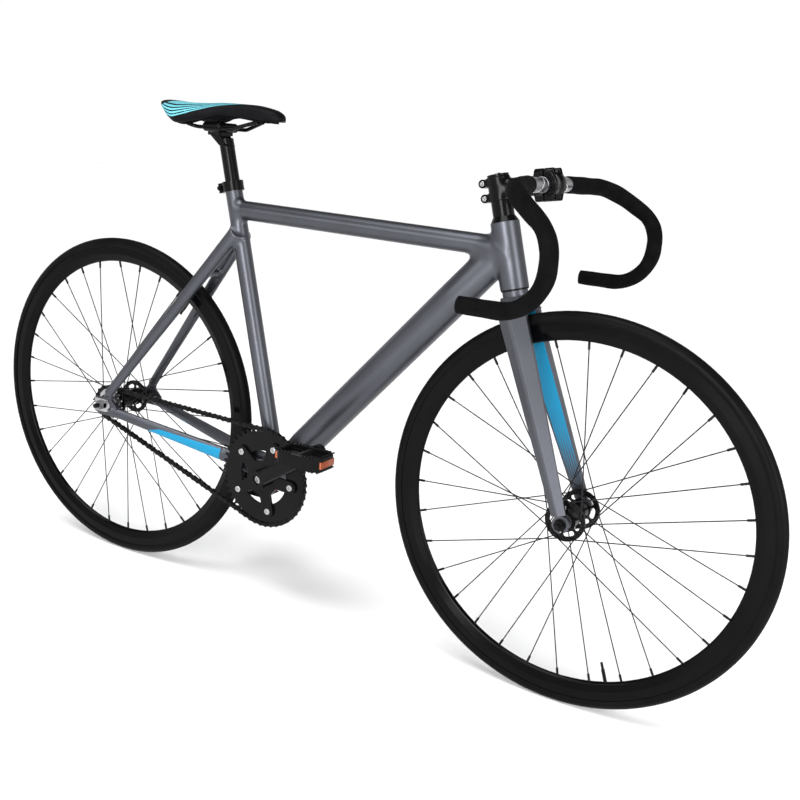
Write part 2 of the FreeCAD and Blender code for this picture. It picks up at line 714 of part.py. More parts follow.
def seat_collar():
    """Split ring round the top of the seat tube, with two ears and a bolt at the rear."""
    low = seat_point(SEAT_TUBE_LENGTH - COLLAR_HEIGHT)
    high = seat_point(SEAT_TUBE_LENGTH)
    top = seat_point(SEAT_TUBE_LENGTH + COLLAR_LIP)
    outer = SEAT_TUBE_DIAMETER + 2 * COLLAR_WALL
    body = fused(ring(outer, SEAT_TUBE_DIAMETER, low, high),
                 ring(outer, SEATPOST_DIAMETER + 2 * SOFT_GAP, high, top))
    ear_start = SEAT_TUBE_DIAMETER / 2 + COLLAR_WALL / 2
    ear_end = SEAT_TUBE_DIAMETER / 2 + COLLAR_WALL + COLLAR_EAR_LENGTH
    height = COLLAR_HEIGHT + COLLAR_LIP

    def ears(start, end, width):
        corner = low + SEAT_BACK * start - ALONG_Y * (width / 2)
        back = SEAT_BACK * (end - start)
        across = ALONG_Y * width
        wire = outline(corner, corner + back, corner + back + across, corner + across)
        return slab(wire, SEAT_UP * height)
    slit = ears(SEATPOST_RADIUS, ear_end + CUT, COLLAR_SLIT)
    middle = low + SEAT_UP * (height / 2) + SEAT_BACK * (ear_end - COLLAR_EAR_LENGTH / 2)
    hole = side_rod(COLLAR_BOLT_DIAMETER + 2 * SEAT_FIT, middle, -COLLAR_EAR_WIDTH, COLLAR_EAR_WIDTH)
    collar = fused(body, ears(ear_start, ear_end, COLLAR_EAR_WIDTH)).cut([slit, hole])
    half = COLLAR_EAR_WIDTH / 2
    bolt = fused(side_rod(COLLAR_BOLT_DIAMETER, middle, -half, half),
                 side_rod(COLLAR_BOLT_HEAD, middle, -half - COLLAR_BOLT_DIAMETER, -half),
                 side_rod(COLLAR_BOLT_HEAD, middle, half, half + COLLAR_BOLT_DIAMETER))
    return [collar, bolt]


def post_top():
    return seat_point(SEAT_TUBE_LENGTH + SEATPOST_SHOWN)


def rail_height():
    """Height of the rails' straight runs: they lie between the two clamp jaws."""
    return post_top().z + POST_HEAD_HEIGHT + CLAMP_JAW


def clamp_centre():
    return vec(post_top().x - POST_HEAD_SETBACK, 0, rail_height())


def level_box(centre, length, width, low, high):
    """Upright block with sides along X and Y."""
    corner = vec(centre.x - length / 2, centre.y - width / 2, low)
    return Part.makeBox(length, width, high - low, corner)


def seatpost():
    """Post with a set-back head whose flat top carries the saddle clamp."""
    top = post_top()
    bottom = seat_point(SEAT_TUBE_LENGTH - SEATPOST_INSERTED)
    post = rod(SEATPOST_DIAMETER, bottom, top)
    seat = clamp_centre()
    flat = rail_height() - CLAMP_JAW
    head = level_box(seat, POST_HEAD_LENGTH, POST_HEAD_WIDTH, flat - POST_HEAD_HEIGHT / 2, flat)
    neck_points = box_points(vec(seat.x, 0, flat - POST_HEAD_HEIGHT / 2), vec(1, 0, 0), ALONG_Y,
                             (POST_HEAD_LENGTH, POST_HEAD_WIDTH), POST_HEAD_HEIGHT / 2)
    foot_points = box_points(top - SEAT_UP * POST_HEAD_HEIGHT, vec(1, 0, 0), ALONG_Y,
                             (SEATPOST_DIAMETER, SEATPOST_DIAMETER), SEATPOST_RADIUS / 2)
    neck = Part.makeLoft([outline(*foot_points), outline(*neck_points)], True, True)
    bore = rod(SEATPOST_BORE, bottom - SEAT_UP * CUT, top - SEAT_UP * SEATPOST_DIAMETER)
    hole = rod(CLAMP_BOLT_DIAMETER + 2 * SEAT_FIT, vec(seat.x, 0, flat - POST_HEAD_HEIGHT / 2),
               vec(seat.x, 0, flat + CUT))
    return fused(post, head, neck).cut([bore, hole])


def rail_paths():
    """Both rails: up and inward to the nose, up and outward to the tail."""
    seat = clamp_centre()
    nose_x = saddle_x(RAIL_NOSE_SHARE)
    tail_x = saddle_x(RAIL_TAIL_SHARE)
    nose_z = shell_foot(RAIL_NOSE_SHARE, RAIL_NOSE_OFFSET) - RAIL_DIAMETER / 2 + RAIL_SUNK
    tail_z = shell_foot(RAIL_TAIL_SHARE, RAIL_TAIL_OFFSET) - RAIL_DIAMETER / 2 + RAIL_SUNK
    half = RAIL_SPACING / 2
    paths = []
    for side in (-1, 1):
        points = [vec(nose_x, side * RAIL_NOSE_OFFSET, nose_z),
                  vec(seat.x + RAIL_STRAIGHT / 2, side * half, seat.z),
                  vec(seat.x - RAIL_STRAIGHT / 2, side * half, seat.z),
                  vec(tail_x, side * RAIL_TAIL_OFFSET, tail_z)]
        paths.append(rounded_path(points, (RAIL_BEND_RADIUS, RAIL_BEND_RADIUS)))
    return paths


def saddle_rails():
    return [pipe(RAIL_DIAMETER, path) for path in rail_paths()]


def saddle_clamp():
    """Lower and upper jaws grooved for the rails, and the bolt that holds them on the post head."""
    seat = clamp_centre()
    half = RAIL_SPACING / 2
    grooves = []
    for side in (-half, half):
        start = vec(seat.x - CLAMP_LENGTH, side, seat.z)
        grooves.append(rod(RAIL_DIAMETER + 2 * SEAT_FIT, start, start + vec(2 * CLAMP_LENGTH, 0, 0)))
    reach = vec(0, 0, CLAMP_JAW + CUT)
    hole = rod(CLAMP_BOLT_DIAMETER + 2 * SEAT_FIT, seat - reach, seat + reach)
    gap = CLAMP_SPLIT / 2
    lower = level_box(seat, CLAMP_LENGTH, CLAMP_WIDTH, seat.z - CLAMP_JAW, seat.z - gap).cut(grooves + [hole])
    upper = level_box(seat, CLAMP_LENGTH, CLAMP_WIDTH, seat.z + gap, seat.z + CLAMP_JAW).cut(grooves + [hole])
    bolt = fused(rod(CLAMP_BOLT_DIAMETER, vec(seat.x, 0, seat.z - CLAMP_JAW - POST_HEAD_HEIGHT / 2),
                     seat + vec(0, 0, CLAMP_JAW)),
                 rod(CLAMP_BOLT_HEAD, seat + vec(0, 0, CLAMP_JAW),
                     seat + vec(0, 0, CLAMP_JAW + CLAMP_BOLT_HEAD_HEIGHT)))
    return [lower, upper, bolt]


def saddle_x(share):
    return post_top().x + SADDLE_NOSE_FORWARD - SADDLE_LENGTH * share


def saddle_level():
    return post_top().z + SADDLE_RISE


def saddle_share(share, shares):
    """A value between the saddle's stations, taken along a straight line."""
    stations = list(zip(SADDLE_STATION_SHARES, shares))
    for (low, first), (high, second) in zip(stations, stations[1:]):
        if low <= share <= high:
            return first + (second - first) * (share - low) / (high - low)
    return shares[-1]


def saddle_underside(share, side):
    """Height of the cushion's arched underside at a share of its length and a side place."""
    half = SADDLE_HALF_WIDTH * saddle_share(share, SADDLE_WIDTH_SHARES)
    drawn = half * SADDLE_DRAW_IN_SHARE
    arch = half * SADDLE_ARCH_SHARE
    radius = (drawn ** 2 + arch ** 2) / (2 * arch)
    foot = saddle_level() + SADDLE_DEPTH * saddle_share(share, SADDLE_BOTTOM_SHARES)
    return foot + arch - radius + math.sqrt(radius ** 2 - side ** 2)


def shell_foot(share, side):
    """Underside of the saddle shell, where the rails meet it."""
    return saddle_underside(share, side) - SADDLE_SHELL_GAP - SADDLE_SHELL_THICKNESS - SOFT_GAP


def saddle_cover():
    """Cushion with a crowned top and an arched underside, its skirt drawn in towards the shell."""
    wires = []
    for share, width, top in zip(SADDLE_STATION_SHARES, SADDLE_WIDTH_SHARES, SADDLE_TOP_SHARES):
        x = saddle_x(share)
        half = SADDLE_HALF_WIDTH * width
        drawn = half * SADDLE_DRAW_IN_SHARE
        crown = saddle_level() + SADDLE_DEPTH * top
        foot = saddle_underside(share, drawn)
        edge = foot + (crown - foot) * SADDLE_SKIRT_SHARE
        arch = vec(x, 0, saddle_underside(share, 0))
        wires.append(outline(vec(x, -drawn, foot), (arch, vec(x, drawn, foot)),
                             vec(x, half, edge), (vec(x, 0, crown), vec(x, -half, edge))))
    return Part.makeLoft(wires, True, False)


def saddle_shell():
    """Thin arched base plate under the cushion, with the rails' ends let into it."""
    wires = []
    for index in range(SADDLE_SHELL_FIRST, SADDLE_SHELL_LAST + 1):
        share = SADDLE_STATION_SHARES[index]
        x = saddle_x(share)
        drawn = SADDLE_HALF_WIDTH * SADDLE_WIDTH_SHARES[index] * SADDLE_DRAW_IN_SHARE
        half = drawn * SADDLE_SHELL_WIDTH_SHARE
        edge = saddle_underside(share, half) - SADDLE_SHELL_GAP
        middle = saddle_underside(share, 0) - SADDLE_SHELL_GAP
        low = SADDLE_SHELL_THICKNESS
        wires.append(outline(vec(x, -half, edge - low), (vec(x, 0, middle - low), vec(x, half, edge - low)),
                             vec(x, half, edge), (vec(x, 0, middle), vec(x, -half, edge))))
    grooves = [pipe(RAIL_DIAMETER + 2 * SEAT_FIT, path) for path in rail_paths()]
    return Part.makeLoft(wires, True, False).cut(grooves)


# Fork, headset, stem and bar

def fork_steerer():
    top = steer(0, 0, stem_foot() + STEM_CLAMP_HEIGHT)
    return ring(STEERER_DIAMETER, STEERER_DIAMETER - 2 * STEERER_WALL, steer(0, 0, -CROWN_HEIGHT), top)


def crown_section(size, up, forward):
    corner = min(size) * CROWN_CORNER_SHARE
    return outline(*box_points(steer(forward, 0, up), HEAD_FORWARD, ALONG_Y, size, corner))


def blade_forward(up):
    """Forward lean of the fork legs: they run straight from the crown to the axle."""
    return FORK_RAKE * (-up - CROWN_NECK) / (FORK_AXIS_LENGTH - CROWN_NECK)


def fork_crown():
    neck = rod(CROWN_NECK_DIAMETER, steer(0, 0, -CROWN_NECK), steer(0, 0, -RACE_HEIGHT - RACE_GAP))
    shoulders = Part.makeLoft([crown_section(CROWN_TOP_SIZE, -CROWN_NECK, 0),
                               crown_section(CROWN_FOOT_SIZE, -CROWN_HEIGHT, blade_forward(-CROWN_HEIGHT))],
                              True, True)
    bore = rod(STEERER_DIAMETER + 2 * SEAT_FIT, steer(0, 0, -CROWN_HEIGHT - CUT), steer(0, 0, CUT))
    return fused(neck, shoulders).cut(bore)


def blade_section(size, up, inner, trim):
    """Section of the right leg: a ridge outside, from which the front facet slopes in."""
    smaller = (size[0] - 2 * trim, size[1] - 2 * trim)
    side = -(inner + size[1] / 2)
    points = [steer(blade_forward(up) + smaller[0] * forward, side + smaller[1] * out, up)
              for forward, out in BLADE_SECTION_SHARES]
    return outline(*points)


def fork_blades():
    """Straight tapered ridged legs with round tips slotted for the axle."""
    tip = FRONT_DROPOUT_SPACING / 2
    end = BLADE_END - FORK_AXIS_LENGTH

    def leg(trim):
        return Part.makeLoft([blade_section(BLADE_ROOT_SIZE, -CROWN_HEIGHT, BLADE_ROOT_INNER, trim),
                              blade_section(BLADE_TIP_SIZE, end, tip, trim)], True, True)
    eye = side_rod(FORK_TIP_DIAMETER, FRONT_AXLE, -tip - FORK_TIP_THICKNESS, -tip)
    half = FRONT_AXLE_DIAMETER / 2 + FORK_SLOT_FIT
    hole = side_rod(2 * half, FRONT_AXLE, -tip - FORK_TIP_THICKNESS - CUT, CUT - tip)

    def spot(forward, up):
        return steer(FORK_RAKE + forward, CUT - tip, up - FORK_AXIS_LENGTH)
    down = -FORK_TIP_DIAMETER
    mouth = slab(outline(spot(-half, 0), spot(half, 0), spot(half, down), spot(-half, down)),
                 -ALONG_Y * (FORK_TIP_THICKNESS + 2 * CUT))
    blade = fused(leg(0).cut(leg(BLADE_WALL)), eye).cut([hole, mouth])
    return [blade, mirrored(blade)]


def headset_covers():
    race = ring(RACE_DIAMETER, STEERER_DIAMETER + 2 * SEAT_FIT, steer(0, 0, -RACE_GAP - RACE_HEIGHT),
                steer(0, 0, -RACE_GAP))
    low = HEAD_TUBE_LENGTH + RACE_GAP
    high = HEAD_TUBE_LENGTH + TOP_COVER_HEIGHT
    cone = taper(RACE_DIAMETER, TOP_COVER_TOP_DIAMETER, steer(0, 0, low), steer(0, 0, high))
    cover = cone.cut(rod(STEERER_DIAMETER + 2 * SEAT_FIT, steer(0, 0, low - CUT), steer(0, 0, high + CUT)))
    return [race, cover]


def headset_spacers():
    rings = []
    for index in range(SPACER_COUNT):
        low = HEAD_TUBE_LENGTH + TOP_COVER_HEIGHT + SPACER_HEIGHT * index
        rings.append(ring(SPACER_DIAMETER, STEERER_DIAMETER + 2 * SEAT_FIT, steer(0, 0, low),
                          steer(0, 0, low + SPACER_HEIGHT)))
    return rings


def stem_foot():
    return HEAD_TUBE_LENGTH + TOP_COVER_HEIGHT + SPACER_HEIGHT * SPACER_COUNT


def stem_frame():
    """Centre of the bar clamp, the stem's own direction and the direction square to it."""
    turn = math.radians(STEM_ANGLE)
    along = HEAD_FORWARD * math.cos(turn) + HEAD_UP * math.sin(turn)
    upward = HEAD_UP * math.cos(turn) - HEAD_FORWARD * math.sin(turn)
    root = steer(0, 0, stem_foot() + STEM_CLAMP_HEIGHT / 2)
    return root, root + along * STEM_LENGTH, along, upward


def bar_centre():
    return stem_frame()[1]


def face_block(start, end):
    """Block across the bar clamp between two places along the stem."""
    root, centre, along, upward = stem_frame()
    corner = (STEM_FACE_ROUND_DIAMETER - STEM_FACE_HEIGHT)
    points = box_points(centre + along * start, ALONG_Y, upward, (STEM_FACE_WIDTH, STEM_FACE_HEIGHT), corner)
    block = slab(outline(*points), along * (end - start))
    return block.common(rod(STEM_FACE_ROUND_DIAMETER, centre - ALONG_Y * STEM_FACE_WIDTH,
                            centre + ALONG_Y * STEM_FACE_WIDTH))


def bar_bore():
    centre = bar_centre()
    return side_rod(BAR_CLAMP_DIAMETER + 2 * SEAT_FIT, centre, -STEM_FACE_WIDTH, STEM_FACE_WIDTH)


def face_bolt_spots():
    root, centre, along, upward = stem_frame()
    spots = []
    for row in (-1, 1):
        for column in (-1, 1):
            across = ALONG_Y * (column * STEM_BOLT_COLUMN / 2)
            spots.append(centre + upward * (row * STEM_BOLT_ROW / 2) + across)
    return spots


def pinch_spots():
    middle = stem_foot() + STEM_CLAMP_HEIGHT / 2
    return [steer(-PINCH_BACK, 0, middle + row * PINCH_ROW / 2) for row in (-1, 1)]


def stem_body():
    root, centre, along, upward = stem_frame()
    low = steer(0, 0, stem_foot())
    high = steer(0, 0, stem_foot() + STEM_CLAMP_HEIGHT)
    solid = fused(rod(STEM_CLAMP_DIAMETER, low, high),
                  rod(STEM_ARM_DIAMETER, root, centre - along * (BAR_CLAMP_DIAMETER / 2)),
                  face_block(-STEM_FACE_DEPTH, -STEM_FACE_GAP / 2))
    cutters = [rod(STEERER_DIAMETER + 2 * SEAT_FIT, steer(0, 0, stem_foot() - CUT),
                   steer(0, 0, stem_foot() + STEM_CLAMP_HEIGHT + CUT)), bar_bore()]
    for spot in pinch_spots():
        half = PINCH_LUG_WIDTH / 2
        solid = fused(solid, side_rod(PINCH_LUG_DIAMETER, spot, -half, half), pinch_web(spot))
        cutters.append(side_rod(STEM_BOLT_DIAMETER + 2 * SEAT_FIT, spot, -PINCH_LUG_WIDTH, PINCH_LUG_WIDTH))
        cutters.append(side_rod(STEM_BOLT_HEAD + 2 * SOFT_GAP, spot, -half - CUT, PINCH_HEAD_SUNK - half))
    for spot in face_bolt_spots():
        cutters.append(rod(STEM_BOLT_DIAMETER + 2 * SEAT_FIT, spot - along * STEM_BOLT_DEPTH,
                           spot + along * CUT))
    slit_start = steer(-STEERER_RADIUS, -PINCH_SLIT / 2, stem_foot() - CUT)
    slit_length = HEAD_FORWARD * (-PINCH_BACK)
    slit = slab(outline(slit_start, slit_start + slit_length, slit_start + slit_length + ALONG_Y * PINCH_SLIT,
                        slit_start + ALONG_Y * PINCH_SLIT), HEAD_UP * (STEM_CLAMP_HEIGHT + 2 * CUT))
    return solid.cut(cutters + [slit])


def pinch_web(spot):
    """Web between a pinch lug and the steerer clamp."""
    reach = HEAD_FORWARD * (PINCH_BACK - STEERER_RADIUS)
    half_up = HEAD_UP * (PINCH_LUG_DIAMETER / 2)
    half_side = ALONG_Y * (PINCH_LUG_WIDTH / 2)
    wire = outline(spot - half_up - half_side, spot + half_up - half_side, spot + half_up + half_side,
                   spot - half_up + half_side)
    return slab(wire, reach)


def stem_faceplate():
    root, centre, along, upward = stem_frame()
    holes = [rod(STEM_BOLT_DIAMETER + 2 * SEAT_FIT, spot - along * CUT, spot + along * STEM_FACE_HEIGHT)
             for spot in face_bolt_spots()]
    sinks = [rod(STEM_BOLT_HEAD + 2 * SOFT_GAP, spot + along * face_bolt_seat(),
                 spot + along * STEM_FACE_HEIGHT) for spot in face_bolt_spots()]
    block = face_block(STEM_FACE_GAP / 2, STEM_FACE_DEPTH + STEM_FACE_GAP / 2)
    return block.cut([bar_bore()] + holes + sinks)


def face_bolt_seat():
    """Place along the stem where the faceplate bolts' heads sit."""
    return STEM_FACE_DEPTH / 2


def stem_bolts():
    """Four faceplate bolts, two pinch bolts and the top cap bolt."""
    root, centre, along, upward = stem_frame()
    seat = face_bolt_seat()
    bolts = []
    for spot in face_bolt_spots():
        head_end = spot + along * (seat + STEM_BOLT_HEAD_HEIGHT)
        bolts.append(fused(rod(STEM_BOLT_DIAMETER, spot - along * STEM_BOLT_DEPTH, spot + along * seat),
                           rod(STEM_BOLT_HEAD, spot + along * seat, head_end)))
    half = PINCH_LUG_WIDTH / 2
    sunk = PINCH_HEAD_SUNK - half
    for spot in pinch_spots():
        bolts.append(fused(side_rod(STEM_BOLT_DIAMETER, spot, sunk, half),
                           side_rod(STEM_BOLT_HEAD, spot, sunk - STEM_BOLT_HEAD_HEIGHT, sunk)))
    cap = stem_foot() + STEM_CLAMP_HEIGHT + TOP_CAP_HEIGHT
    bolts.append(fused(rod(STEM_BOLT_DIAMETER, steer(0, 0, cap - STEM_BOLT_DEPTH), steer(0, 0, cap)),
                       rod(STEM_BOLT_HEAD, steer(0, 0, cap), steer(0, 0, cap + STEM_BOLT_HEAD_HEIGHT / 2))))
    return bolts


def top_cap():
    low = steer(0, 0, stem_foot() + STEM_CLAMP_HEIGHT)
    high = steer(0, 0, stem_foot() + STEM_CLAMP_HEIGHT + TOP_CAP_HEIGHT)
    return ring(TOP_CAP_DIAMETER, STEM_BOLT_DIAMETER + 2 * SEAT_FIT, low, high)


def bar_path(start):
    """Centre line of the right half of the bar from a side place outward."""
    centre = bar_centre()
    forward, side, drop = BAR_SHOULDER_SHARES
    shoulder = vec(BAR_REACH * forward, -BAR_HALF_WIDTH * side, -BAR_RAMP_DROP * drop)
    points = [centre - ALONG_Y * start,
              centre - ALONG_Y * (GRIP_START + BAR_GRIP_STRAIGHT),
              centre + shoulder,
              centre + vec(BAR_REACH, -BAR_HALF_WIDTH, -BAR_RAMP_DROP),
              centre + vec(BAR_REACH, -BAR_HALF_WIDTH, -BAR_DROP),
              centre + vec(-BAR_END_BACK, -BAR_HALF_WIDTH, -BAR_DROP)]
    radii = (BAR_STRAIGHT_RADIUS, BAR_SHOULDER_RADIUS, BAR_RAMP_RADIUS, BAR_HOOK_RADIUS)
    return rounded_path(points, radii)


def handlebar():
    centre = bar_centre()
    half = pipe(BAR_DIAMETER, bar_path(0)).cut(pipe(BAR_DIAMETER - 2 * BAR_WALL, bar_path(0)))
    sleeve = side_ring(BAR_CLAMP_DIAMETER, BAR_DIAMETER - 2 * BAR_WALL, centre, -BAR_CLAMP_LENGTH / 2,
                       BAR_CLAMP_LENGTH / 2)
    return fused(half, mirrored(half), sleeve)


def grips():
    """Foam sleeves from beside the bare middle round to the ends of the drops."""
    path = bar_path(GRIP_START)
    grip = pipe(GRIP_DIAMETER, path).cut(pipe(BAR_DIAMETER + 2 * SEAT_FIT, path))
    return [grip, mirrored(grip)]


def bar_end_plugs():
    end = bar_centre() + vec(-BAR_END_BACK, -BAR_HALF_WIDTH, -BAR_DROP)
    plug = fused(rod(PLUG_DIAMETER, end, end - vec(PLUG_HEIGHT, 0, 0)),
                 rod(BAR_DIAMETER - 2 * BAR_WALL - 2 * SEAT_FIT, end, end + vec(PLUG_DEPTH, 0, 0)))
    return [plug, mirrored(plug)]


# Wheels, built about the origin and then moved to their axles

def tyre_section_radius():
    return RIM_RADIUS + (WHEEL_RADIUS - RIM_RADIUS) * TYRE_WIDEST_SHARE


def tyre():
    """Clincher casing seated in the rim, and the inner tube inside it."""
    widest = tyre_section_radius()
    half = TYRE_WIDTH / 2
    shoulder = half * TYRE_SHOULDER_SHARE
    lip = RIM_CHANNEL_HALF - TYRE_WALL
    bead_top = RIM_RADIUS - RIM_HOOK_HEIGHT * TYRE_BEAD_SHARE
    crown = vec(WHEEL_RADIUS, 0, 0)
    hollow = vec(WHEEL_RADIUS - TYRE_WALL, 0, 0)
    wire = outline(vec(BEAD_SEAT_RADIUS, RIM_CHANNEL_HALF, 0), vec(RIM_RADIUS, RIM_CHANNEL_HALF, 0),
                   vec(RIM_RADIUS, shoulder, 0), (vec(widest, half, 0), crown),
                   (vec(widest, -half, 0), vec(RIM_RADIUS, -shoulder, 0)),
                   vec(RIM_RADIUS, -RIM_CHANNEL_HALF, 0),
                   vec(BEAD_SEAT_RADIUS, -RIM_CHANNEL_HALF, 0), vec(BEAD_SEAT_RADIUS, -lip, 0),
                   vec(bead_top, -lip, 0), (vec(widest, TYRE_WALL - half, 0), hollow),
                   (vec(widest, half - TYRE_WALL, 0), vec(bead_top, lip, 0)), vec(BEAD_SEAT_RADIUS, lip, 0))
    tube_radius = half - TYRE_WALL - SOFT_GAP
    tube = Part.makeTorus(widest, tube_radius, vec(0, 0, 0), ALONG_Y)
    air = Part.makeTorus(widest, tube_radius - TUBE_WALL, vec(0, 0, 0), ALONG_Y)
    valve_hole = rod(VALVE_DIAMETER, at_angle(BEAD_SEAT_RADIUS, 0, 0), at_angle(widest, 0, 0))
    return [revolved(wire), tube.cut([air, valve_hole])]


def valve():
    """Threaded valve stem from the inner tube through the rim, with a thinner tip."""
    inner = RIM_BED_RADIUS - VALVE_SHOWN
    neck = inner + VALVE_SHOWN * VALVE_TIP_SHARE
    foot = tyre_section_radius() - (TYRE_WIDTH / 2 - TYRE_WALL - SOFT_GAP) + TUBE_WALL
    return fused(rod(VALVE_DIAMETER, at_angle(neck, 0, 0), at_angle(foot, 0, 0)),
                 rod(VALVE_TIP_DIAMETER, at_angle(inner, 0, 0), at_angle(neck, 0, 0)))


def spoke_table(flange_offset):
    """For each spoke: its side, whether it lies outside its flange, its elbow and its place in the rim."""
    rows = []
    for side in (-1, 1):
        for index in range(SPOKES_PER_FLANGE):
            hole = SPOKE_PHASE + SPOKE_STEP * index + (SPOKE_STEP / 2 if side > 0 else 0)
            outside = index % 2 == 0
            turn = SPOKE_CROSSES * SPOKE_STEP
            if outside:
                offset = flange_offset + FLANGE_THICKNESS / 2 + SPOKE_DIAMETER / 2 + SPOKE_STANDOFF
                rim_angle = hole + turn
            else:
                offset = flange_offset - FLANGE_THICKNESS / 2 - SPOKE_DIAMETER / 2
                rim_angle = hole - turn
            rows.append((side, outside, at_angle(SPOKE_CIRCLE_RADIUS, side * offset, hole),
                         at_angle(RIM_BED_RADIUS, 0, rim_angle)))
    return rows


def rim(flange_offset):
    """Deep hollow rim with its tyre channel, drilled for the nipples and the valve."""
    bed_half = RIM_HALF * RIM_BED_WIDTH_SHARE
    track = RIM_RADIUS - RIM_DEPTH * RIM_TRACK_SHARE
    nose = RIM_BED_RADIUS + RIM_DEPTH * RIM_NOSE_SHARE
    floor = BEAD_SEAT_RADIUS
    section = outline(vec(RIM_RADIUS, RIM_HALF, 0), vec(RIM_RADIUS, RIM_CHANNEL_HALF, 0),
                      vec(floor, RIM_CHANNEL_HALF, 0), vec(floor, -RIM_CHANNEL_HALF, 0),
                      vec(RIM_RADIUS, -RIM_CHANNEL_HALF, 0),
                      vec(RIM_RADIUS, -RIM_HALF, 0), vec(track, -RIM_HALF, 0), vec(nose, -bed_half, 0),
                      (vec(RIM_BED_RADIUS, 0, 0), vec(nose, bed_half, 0)), vec(track, RIM_HALF, 0))
    inner_bed = RIM_BED_RADIUS + RIM_BED_WALL + RIM_DEPTH * RIM_NOSE_SHARE / 2
    chamber = outline(vec(floor - RIM_WALL, RIM_CHANNEL_HALF, 0), vec(floor - RIM_WALL, -RIM_CHANNEL_HALF, 0),
                      vec(track, -RIM_CHANNEL_HALF, 0), vec(inner_bed, RIM_WALL - bed_half, 0),
                      vec(inner_bed, bed_half - RIM_WALL, 0), vec(track, RIM_CHANNEL_HALF, 0))
    cutters = [rod(VALVE_DIAMETER + 2 * SOFT_GAP, at_angle(RIM_BED_RADIUS - CUT, 0, 0),
                   at_angle(RIM_RADIUS, 0, 0))]
    depth = inner_bed - RIM_BED_RADIUS
    for side, outside, elbow, seat in spoke_table(flange_offset):
        along = (seat - elbow).normalize()
        cutters.append(rod(NIPPLE_DIAMETER + 2 * NIPPLE_FIT, seat - along * CUT,
                           seat + along * (depth + CUT)))
    return revolved(section).cut(revolved(chamber)).cut(cutters)


def spokes(flange_offset):
    """Crossed spokes, each with its elbow and head in the hub flange."""
    solids = []
    reach = FLANGE_THICKNESS + SPOKE_STANDOFF + SPOKE_DIAMETER / 2
    for side, outside, elbow, seat in spoke_table(flange_offset):
        inward = ALONG_Y * (-side if outside else side)
        length = reach if outside else FLANGE_THICKNESS + SPOKE_DIAMETER / 2
        head = elbow + inward * length
        solids.append(fused(rod(SPOKE_DIAMETER, elbow, seat), rod(SPOKE_DIAMETER, elbow, head),
                            Part.makeSphere(SPOKE_DIAMETER / 2, elbow),
                            rod(SPOKE_HEAD_DIAMETER, head, head + inward * SPOKE_HEAD_HEIGHT)))
    return solids


def nipples(flange_offset):
    solids = []
    depth = RIM_BED_WALL + RIM_DEPTH * RIM_NOSE_SHARE / 2 + NIPPLE_HEAD_GAP
    for side, outside, elbow, seat in spoke_table(flange_offset):
        along = (seat - elbow).normalize()
        shank = rod(NIPPLE_DIAMETER, seat - along * NIPPLE_SHOWN, seat + along * depth)
        head = rod(NIPPLE_HEAD_DIAMETER, seat + along * depth, seat + along * (depth + NIPPLE_HEAD_HEIGHT))
        bore = rod(SPOKE_DIAMETER + 2 * SEAT_FIT, seat - along * (NIPPLE_SHOWN + CUT),
                   seat + along * (depth + CUT))
        solids.append(fused(shank, head).cut(bore))
    return solids


def hub_shell(flange_offset, end, axle):
    """Barrel with two drilled high flanges and a bearing seat at each end."""
    origin = vec(0, 0, 0)
    half = FLANGE_THICKNESS / 2
    solid = side_rod(HUB_BARREL_DIAMETER, origin, -end, end)
    cutters = [side_rod(axle + 2 * HUB_BORE_GAP, origin, -end - CUT, end + CUT)]
    for side in (-1, 1):
        middle = side * flange_offset
        solid = fused(solid, side_rod(FLANGE_DIAMETER, origin, middle - half, middle + half))
        cutters.append(side_rod(BEARING_DIAMETER, origin, side * (end - BEARING_WIDTH), side * (end + CUT)))
        cutters += flange_windows(middle)
    for side, outside, elbow, seat in spoke_table(flange_offset):
        middle = side * flange_offset
        cutters.append(side_rod(SPOKE_DIAMETER + 2 * SPOKE_HOLE_FIT, elbow, middle - FLANGE_THICKNESS,
                                middle + FLANGE_THICKNESS))
    return solid.cut(cutters)


def flange_windows(middle):
    """Curved lightening slots between the barrel and the spoke holes."""
    inner = HUB_BARREL_DIAMETER / 2
    outer = SPOKE_CIRCLE_RADIUS - SPOKE_HEAD_DIAMETER / 2
    radius = (inner + outer) / 2
    half = (outer - inner) * FLANGE_WINDOW_SHARE / 2
    low = middle - FLANGE_THICKNESS
    step = 360 / FLANGE_WINDOWS
    turn = step * FLANGE_WINDOW_TURN_SHARE / 2
    windows = []
    for index in range(FLANGE_WINDOWS):
        angle = SPOKE_PHASE + step * index
        caps = []
        for sign in (-1, 1):
            centre = at_angle(radius, low, angle + sign * turn)
            caps.append(centre + at_angle(half, 0, angle + sign * (turn + 90)))
        wire = outline(at_angle(radius + half, low, angle - turn),
                       (at_angle(radius + half, low, angle), at_angle(radius + half, low, angle + turn)),
                       (caps[1], at_angle(radius - half, low, angle + turn)),
                       (at_angle(radius - half, low, angle), at_angle(radius - half, low, angle - turn)),
                       (caps[0], at_angle(radius + half, low, angle - turn)))
        windows.append(slab(wire, ALONG_Y * (2 * FLANGE_THICKNESS)))
    return windows


def hub_bearings(end, axle):
    origin = vec(0, 0, 0)
    bearing = side_ring(BEARING_DIAMETER - 2 * SEAT_FIT, axle + 2 * RUN_FIT, origin,
                        BEARING_WIDTH - end, -end)
    return [bearing, mirrored(bearing)]


def rear_hub(flange_offset, end, axle):
    """Rear hub shell with the cog's thread on the drive side."""
    origin = vec(0, 0, 0)
    seat = CHAIN_LINE - SPROCKET_THICKNESS / 2 - COG_BOSS_HEIGHT
    thread = side_ring(COG_THREAD_DIAMETER, HUB_BARREL_DIAMETER, origin, -seat, -end)
    return fused(hub_shell(flange_offset, end, axle), thread)


